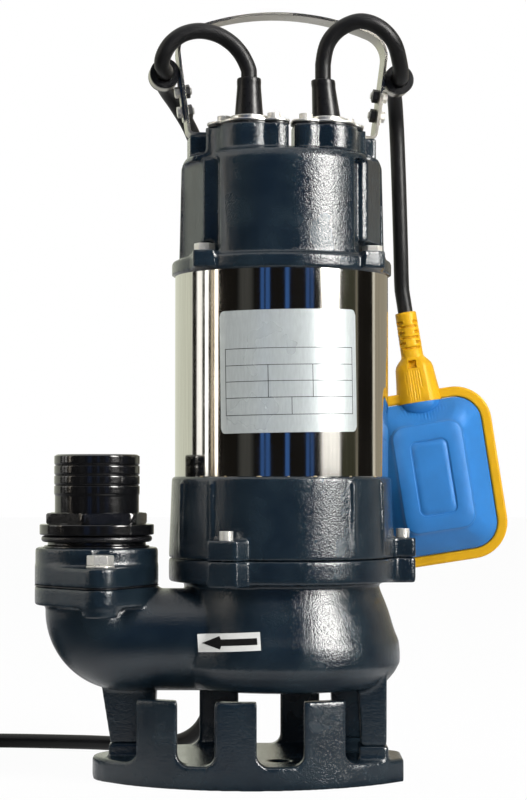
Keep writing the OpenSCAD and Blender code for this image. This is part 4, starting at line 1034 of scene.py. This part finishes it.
blue_shells = [blue_shell("float_shell_front", -1, "float_front"),
               blue_shell("float_shell_back", 1, "float_back")]
print("blue shells:", [len(shell.data.polygons) for shell in blue_shells], "faces")

# %% Yellow frame
frame_section = eased([(6.1, 0), (6.1, -4.9), (0.2, -4.9), (0, -0.35), (0.35, 0), (0, 0.35), (0.2, 4.9),
                       (6.1, 4.9), (6.1, 0)], 1.3)
frame_rings = at(float_at, [rim_outline(inset, y) for inset, y in frame_section[:-1]])
yellow_frame = finished_piece("float_frame", *ring_skin(frame_rings, loop=True), amber_plastic, "float",
                              "amber_plastic", "float_rim", crease=40)
print("yellow frame", len(yellow_frame.data.polygons), "faces")

# %% [markdown]
# ## Strain relief and neck of the float
# Above the float the cable runs through a ribbed sleeve: rings with staggered slots between them
# let it bend without pulling on the joint. Below it the neck widens to a flat-fronted hood with a
# small window and fine upright flutes.

# %% The neck's outline
neck_mouth = [(4.6, 0.6), (5.2, 0), (6.0, 0), (6.3, 0.5)]
neck_shape = [(0, 6.3), (22, 6.6), (26.0, 6.6), (27.4, 7.0), (29.5, 9.0), (31.5, 10.6), (34, 11.4),
              (42, 12.2), (50, 13.2), (55.5, 13.6)]
neck_heights = [0.5 + 0.3 * i for i in range(1, 86)] + [26.3 + 0.45 * i for i in range(64)]
neck_steps = 144


def neck_radius(z):
    """The neck's radius at a height below its mouth."""
    for (z0, r0), (z1, r1) in zip(neck_shape, neck_shape[1:]):
        if z <= z1:
            t = (z - z0) / (z1 - z0)
            return r0 + (r1 - r0) * t
    return neck_shape[-1][1]


print("neck of", len(neck_mouth) + len(neck_heights), "rings")

# %% Slots, hood, window and flutes
# A slot row is (height, 1 for two wide slots or 0 for four narrow ones)
slot_rows = [(5.9, 0), (8.8, 1), (12.1, 0), (15.4, 1), (18.5, 0), (21.7, 1)]
slot_half, slot_depth, slot_side = 0.75, 1.5, 0.25
groove_half, groove_depth, sleeve_end = 1.3, 0.12, 25
hood_start, hood_blend, hood_front, hood_flat = 26, 4, 0.8, 0.85
window_depth, hood_flute_depth, hood_flute_pitch, hood_flute_left = 3.0, 0.28, 1.47, -6.6


def sleeve_cut(a, z):
    """How deep the sleeve's slots and grooves are at an angle and a height."""
    depth = 0.0
    for row, wide in slot_rows:
        gap = abs(z - row)
        if gap < slot_half:
            beside = math.degrees(a) % 180
            is_open = 35 < beside < 145 if wide else (12 < beside < 62 or 118 < beside < 168)
            if is_open:
                depth += slot_depth * min(1, (slot_half - gap) / slot_side)
        elif wide and gap < groove_half and z < sleeve_end:
            depth += groove_depth
    return depth


def neck_ring(z):
    """One ring of the neck: a slotted sleeve, then a hood with a flat front, a window and flutes."""
    flat = max(0.0, min(1.0, (z - hood_start) / hood_blend))
    ring = []
    for k in range(neck_steps):
        a = math.tau * k / neck_steps
        r = neck_radius(z) - sleeve_cut(a, z)
        x, y = r * math.cos(a), r * math.sin(a) * (1 - 0.12 * flat)
        limit = hood_front * r
        if flat and abs(y) > limit:
            y = math.copysign(limit + (abs(y) - limit) * (1 - flat * hood_flat), y)
        if y < 0:
            if 29.2 < z < 33.6 and -3.4 < x < 0.9:
                y += window_depth
            elif 35 < z < 54 and hood_flute_left < x < 2.2 and abs(y) > 0.6 * r:
                wave = 0.5 + 0.5 * math.cos(math.tau * (x - hood_flute_left) / hood_flute_pitch)
                y += hood_flute_depth * wave
        ring.append(float_at @ Vector((x, y, z)))
    return ring


neck_rings = at(float_at, turned_rings(neck_mouth, neck_steps)) + [neck_ring(z) for z in neck_heights]
neck = finished_piece("float_neck", *ring_skin(neck_rings, False), amber_plastic, "float",
                      "amber_plastic", "float_gland", crease=38)
print("float neck", len(neck.data.polygons), "faces")

# %% [markdown]
# ## Plug
# The mains plug is moulded in one piece with the cable: a slim tail with bend slots, a waist to
# hold it by and a round face with two pins.

# %% Plug
plug_at = Matrix.Translation(plug_back) @ Matrix.Rotation(math.radians(90), 4, "X")
plug_profile = eased([(4.4, -0.5), (5.6, -0.5), (6.2, 2), (5.6, 2.6), (6.4, 5), (5.9, 5.6), (6.9, 8),
                      (6.3, 8.6), (8, 14), (15, 22), (18.9, 26), (18.9, 31), (17.9, 32.5), (18.9, 34),
                      (18.9, 38), (17, 40), (17, 48), (0.5, 48)], 0.9)
plug = finished_piece("mains_plug", *ring_skin(at(plug_at, turned_rings(plug_profile, 72))),
                      boot_rubber, "pump", "rubber", "power_plug")
print("plug lies at", [round(v) for v in plug_back], "mm,", len(plug.data.polygons), "faces")

# %% [markdown]
# ## Sealant at the shell's foot
# The shell is bedded in jointing compound, and a little of it has squeezed out of the seam in
# places and set hard.

# %% Sealant beads
bead_steps, bead_sides, seam_z = 8, 10, shell_z + 0.35


def bead(name, angle, z, long, tall):
    """A drop of sealant on the shell, long mm wide, with an uneven round section."""
    rings = []
    for i in range(bead_steps + 1):
        t = i / bead_steps
        size = math.sin(math.pi * max(0.04, min(0.96, t))) ** 0.6
        middle = angle + math.degrees(long * (t - 0.5) / shell_r)
        ring = []
        for k in range(bead_sides):
            a = math.tau * k / bead_sides
            wobble = 1 + 0.25 * noise.noise(Vector((angle + t * 3, k, z)))
            ring.append(on_shell(middle, z + tall * size * wobble * math.sin(a),
                                 0.15 + 0.4 * size * math.cos(a)))
        rings.append(ring)
    return finished_piece(name, *ring_skin(rings), sealant, "pump", "white_plastic")


bead_places = [(-47, 2.6, 0.35), (-31, 1.4, 0.3), (-12, 3.2, 0.3), (3, 1.2, 0.3), (17, 2.2, 0.4),
               (38, 1.5, 0.3), (58, 2.8, 0.35), (96, 2, 0.3), (150, 3, 0.35), (205, 2.4, 0.3),
               (262, 1.8, 0.35)]
beads = [bead(f"sealant_{i}", angle, seam_z, long, tall)
         for i, (angle, long, tall) in enumerate(bead_places)]
print(len(beads), "beads of sealant")

# %% [markdown]
# ## The studio
# A pale floor and a white background. The Light Path node makes both white to the camera, while the
# object gets a plain level of light from them. In reflections the floor shows painted light: a painted
# shadow dims it under the pump, and it is bright round its foot, dark further off in front and
# brighter behind, so that the enamel and the shell keep some shape from every side.

# %% Floor
def combine(tree, operation, first, second):
    """A Math node of two values."""
    node = tree.nodes.new("ShaderNodeMath")
    node.operation = operation
    tree.links.new(first, node.inputs[0])
    tree.links.new(second, node.inputs[1])
    return node.outputs[0]


floor_half = 8
floor = mesh_object("floor", [(-floor_half, -floor_half, 0), (floor_half, -floor_half, 0),
                              (floor_half, floor_half, 0), (-floor_half, floor_half, 0)], [(0, 1, 2, 3)])
floor_material, tree, shader = finish_material("floor", (0.8, 0.8, 0.79), 0.9)
glow = tree.nodes.new("ShaderNodeEmission")
mix = tree.nodes.new("ShaderNodeMixShader")
ray = tree.nodes.new("ShaderNodeLightPath").outputs
glow_share = combine(tree, "MAXIMUM", remap(tree, ray["Is Camera Ray"], 0, 1, 0, 0.96), ray["Is Glossy Ray"])
spot = tree.nodes.new("ShaderNodeTexCoord").outputs["Object"]
length = tree.nodes.new("ShaderNodeVectorMath")
length.operation = "LENGTH"
tree.links.new(spot, length.inputs[0])
distance = length.outputs["Value"]
apart = tree.nodes.new("ShaderNodeSeparateXYZ")
tree.links.new(spot, apart.inputs[0])
# The floor's glow in reflections is painted: a bright ring round the pump's foot that fades outwards,
# brighter behind, and a painted shadow that dims it right under the pump.
painted_far_reflection = combine(tree, "MAXIMUM", remap(tree, distance, 0.15, 0.25, 0.9, 0.02),
                 remap(tree, apart.outputs["Y"], -0.2, 0.6, 0.02, 0.6))
painted_floor_reflection = combine(tree, "MULTIPLY", remap(tree, distance, 0.07, 0.14, 0.1, 1), painted_far_reflection)
tree.links.new(combine(tree, "MAXIMUM", ray["Is Camera Ray"], painted_floor_reflection), glow.inputs["Strength"])
tree.links.new(glow_share, mix.inputs[0])
tree.links.new(shader.outputs[0], mix.inputs[1])
tree.links.new(glow.outputs[0], mix.inputs[2])
tree.links.new(mix.outputs[0], tree.nodes["Material Output"].inputs[0])
floor.data.materials.append(floor_material)
print("floor", 2 * floor_half, "m wide")

# %% Background
plain_level = 0.45
world = bpy.data.worlds.new("studio")
scene.world = world
world.use_nodes = True
sky = world.node_tree
background = sky.nodes["Background"]
background.inputs["Color"].default_value = (1, 1, 1, 1)
ray = sky.nodes.new("ShaderNodeLightPath").outputs
mirrored = combine(sky, "MAXIMUM", ray["Is Glossy Ray"], ray["Is Transmission Ray"])
white_seen = combine(sky, "MAXIMUM", ray["Is Camera Ray"], mirrored)
sky.links.new(remap(sky, white_seen, 0, 1, plain_level, 1.0), background.inputs["Strength"])
print("background lights the pump at", plain_level)

# %% [markdown]
# ## What the steel reflects
# Polished steel shows the room around it. A dark screen stands in front of the pump and gives the
# shell and the enamel their deep dark middle, and pale ones stand behind it. Narrow bright strips
# at the left and a wide bright face at the right draw the long upright streaks. Only reflections
# see them: the camera, the shadows and the plain light pass through.

# %% Screens that only reflections see
def screen(name, start, end, low, high, radius, colour, strength=1.0, soft=0.0):
    """A curved upright screen round the pump, its angles counted from the camera to the right.
    Its glow fades to nothing over soft degrees at its upright edges."""
    steps = max(2, int(abs(end - start) / 3))
    across = [(start + (end - start) * i / steps, 1.0) for i in range(steps + 1)]
    if soft:
        across = [(start - soft, 0.0)] + across + [(end + soft, 0.0)]
    corners, faces, levels = [], [], []
    for i, (angle, level) in enumerate(across):
        a = math.radians(angle)
        for z in (low, high):
            corners.append((radius * math.sin(a), -radius * math.cos(a), z))
            levels.append(level * strength)
        if i:
            faces.append((2 * i - 2, 2 * i, 2 * i + 1, 2 * i - 1))
    obj = mesh_object(name, corners, faces)
    obj.data.attributes.new("glow", "FLOAT", "POINT").data.foreach_set("value", levels)
    material = bpy.data.materials.new(name)
    material.use_nodes = True
    tree = material.node_tree
    tree.nodes.clear()
    level = tree.nodes.new("ShaderNodeAttribute")
    level.attribute_name = "glow"
    glow = tree.nodes.new("ShaderNodeEmission")
    glow.inputs["Color"].default_value = (*colour, 1)
    tree.links.new(level.outputs["Fac"], glow.inputs["Strength"])
    output = tree.nodes.new("ShaderNodeOutputMaterial")
    tree.links.new(glow.outputs[0], output.inputs[0])
    obj.data.materials.append(material)
    for kind in ("camera", "diffuse", "shadow", "volume_scatter"):
        setattr(obj, "visible_" + kind, False)
    return obj


print("screen tool ready")

# %% The screens round the pump
foot, strip_foot, top = 0.02, 0.18, 3.2
far, inner, near = 2.6, 2.5, 2.4
dark, blue, white = (0.010, 0.009, 0.0075), (0.045, 0.12, 0.34), (1, 0.98, 0.94)
screens = [
    screen("black_front", -110.7, 113.5, foot, top, far, dark),
    screen("cream_left", -180, -111, foot, top, far, (0.78, 0.80, 0.67)),
    screen("cream_right", 118.5, 180, foot, top, far, (0.38, 0.34, 0.26)),
    screen("edge_right", 113.5, 118.5, foot, top, far, (0.85, 0.8, 0.68)),
    screen("strip_left_1", -102.5, -94, strip_foot, top, inner, white, 1.6, 0.4),
    screen("strip_left_2", -88.8, -85.2, strip_foot, top, inner, white, 4, 0.3),
    screen("strip_left_3", -80.6, -77.8, strip_foot, top, inner, (0.6, 0.5, 0.36), 1.2, 0.5),
    screen("strip_left_4", -75, -72.2, strip_foot, top, inner, (1, 0.9, 0.76), 6, 0.5),
    screen("glow_left", -43, -34, foot, top, inner, (0.065, 0.065, 0.06), 1, 6),
    screen("blue_1", -22.3, -18.8, foot, top, inner, blue, 1, 0.4),
    screen("blue_2", -16.9, -12.9, foot, top, inner, blue, 1, 0.4),
    screen("blue_3", 3.6, 7.4, foot, top, inner, blue, 1.1, 0.5),
    screen("blue_4", 25.4, 28.7, foot, top, inner, blue, 0.8, 0.5),
    screen("blue_5", 30.3, 33.3, foot, top, inner, blue, 0.7, 0.5),
    screen("soft_box_face", 44, 61, 0.5, 2.4, near, white, 34, 2),
    screen("soft_box_foot", 44, 62, 0.17, 0.5, near, white, 1.5, 4),
    screen("olive_right", 66, 84, foot, top, inner, (0.05, 0.05, 0.032)),
    screen("line_right", 84.5, 88, foot, top, inner, (0.24, 0.22, 0.17)),
]
print(len(screens), "screens")

# %% [markdown]
# ## The lamps
# Two soft boxes and a top light give the pump its plain light and its soft shadow. They are hidden
# from reflections, where the screens stand in for them.

# %% Soft boxes
def soft_box(name, angle, distance, height, width, tall, watts):
    """A rectangular lamp that looks at the middle of the pump, with its angle as for a screen."""
    lamp = bpy.data.lights.new(name, "AREA")
    lamp.shape = "RECTANGLE"
    lamp.size = width
    lamp.size_y = tall
    lamp.energy = watts
    obj = bpy.data.objects.new(name, lamp)
    a = math.radians(angle)
    obj.location = (distance * math.sin(a), -distance * math.cos(a), height)
    aim = Vector((0, 0, pump_middle_z)) - obj.location
    obj.rotation_euler = aim.to_track_quat("-Z", "Y").to_euler()
    obj.visible_glossy = False
    scene.collection.objects.link(obj)
    return obj


pump_middle_z = 0.2
lamps = [
    soft_box("soft_box_right", 54, 1.7, 0.95, 0.5, 1.7, 36),
    soft_box("soft_box_left", -88, 1.8, 0.9, 0.5, 1.7, 14),
    soft_box("soft_box_top", 10, 1.5, 1.9, 1.2, 0.8, 8),
]
scene.view_settings.view_transform = "Standard"
print(len(lamps), "lamps")
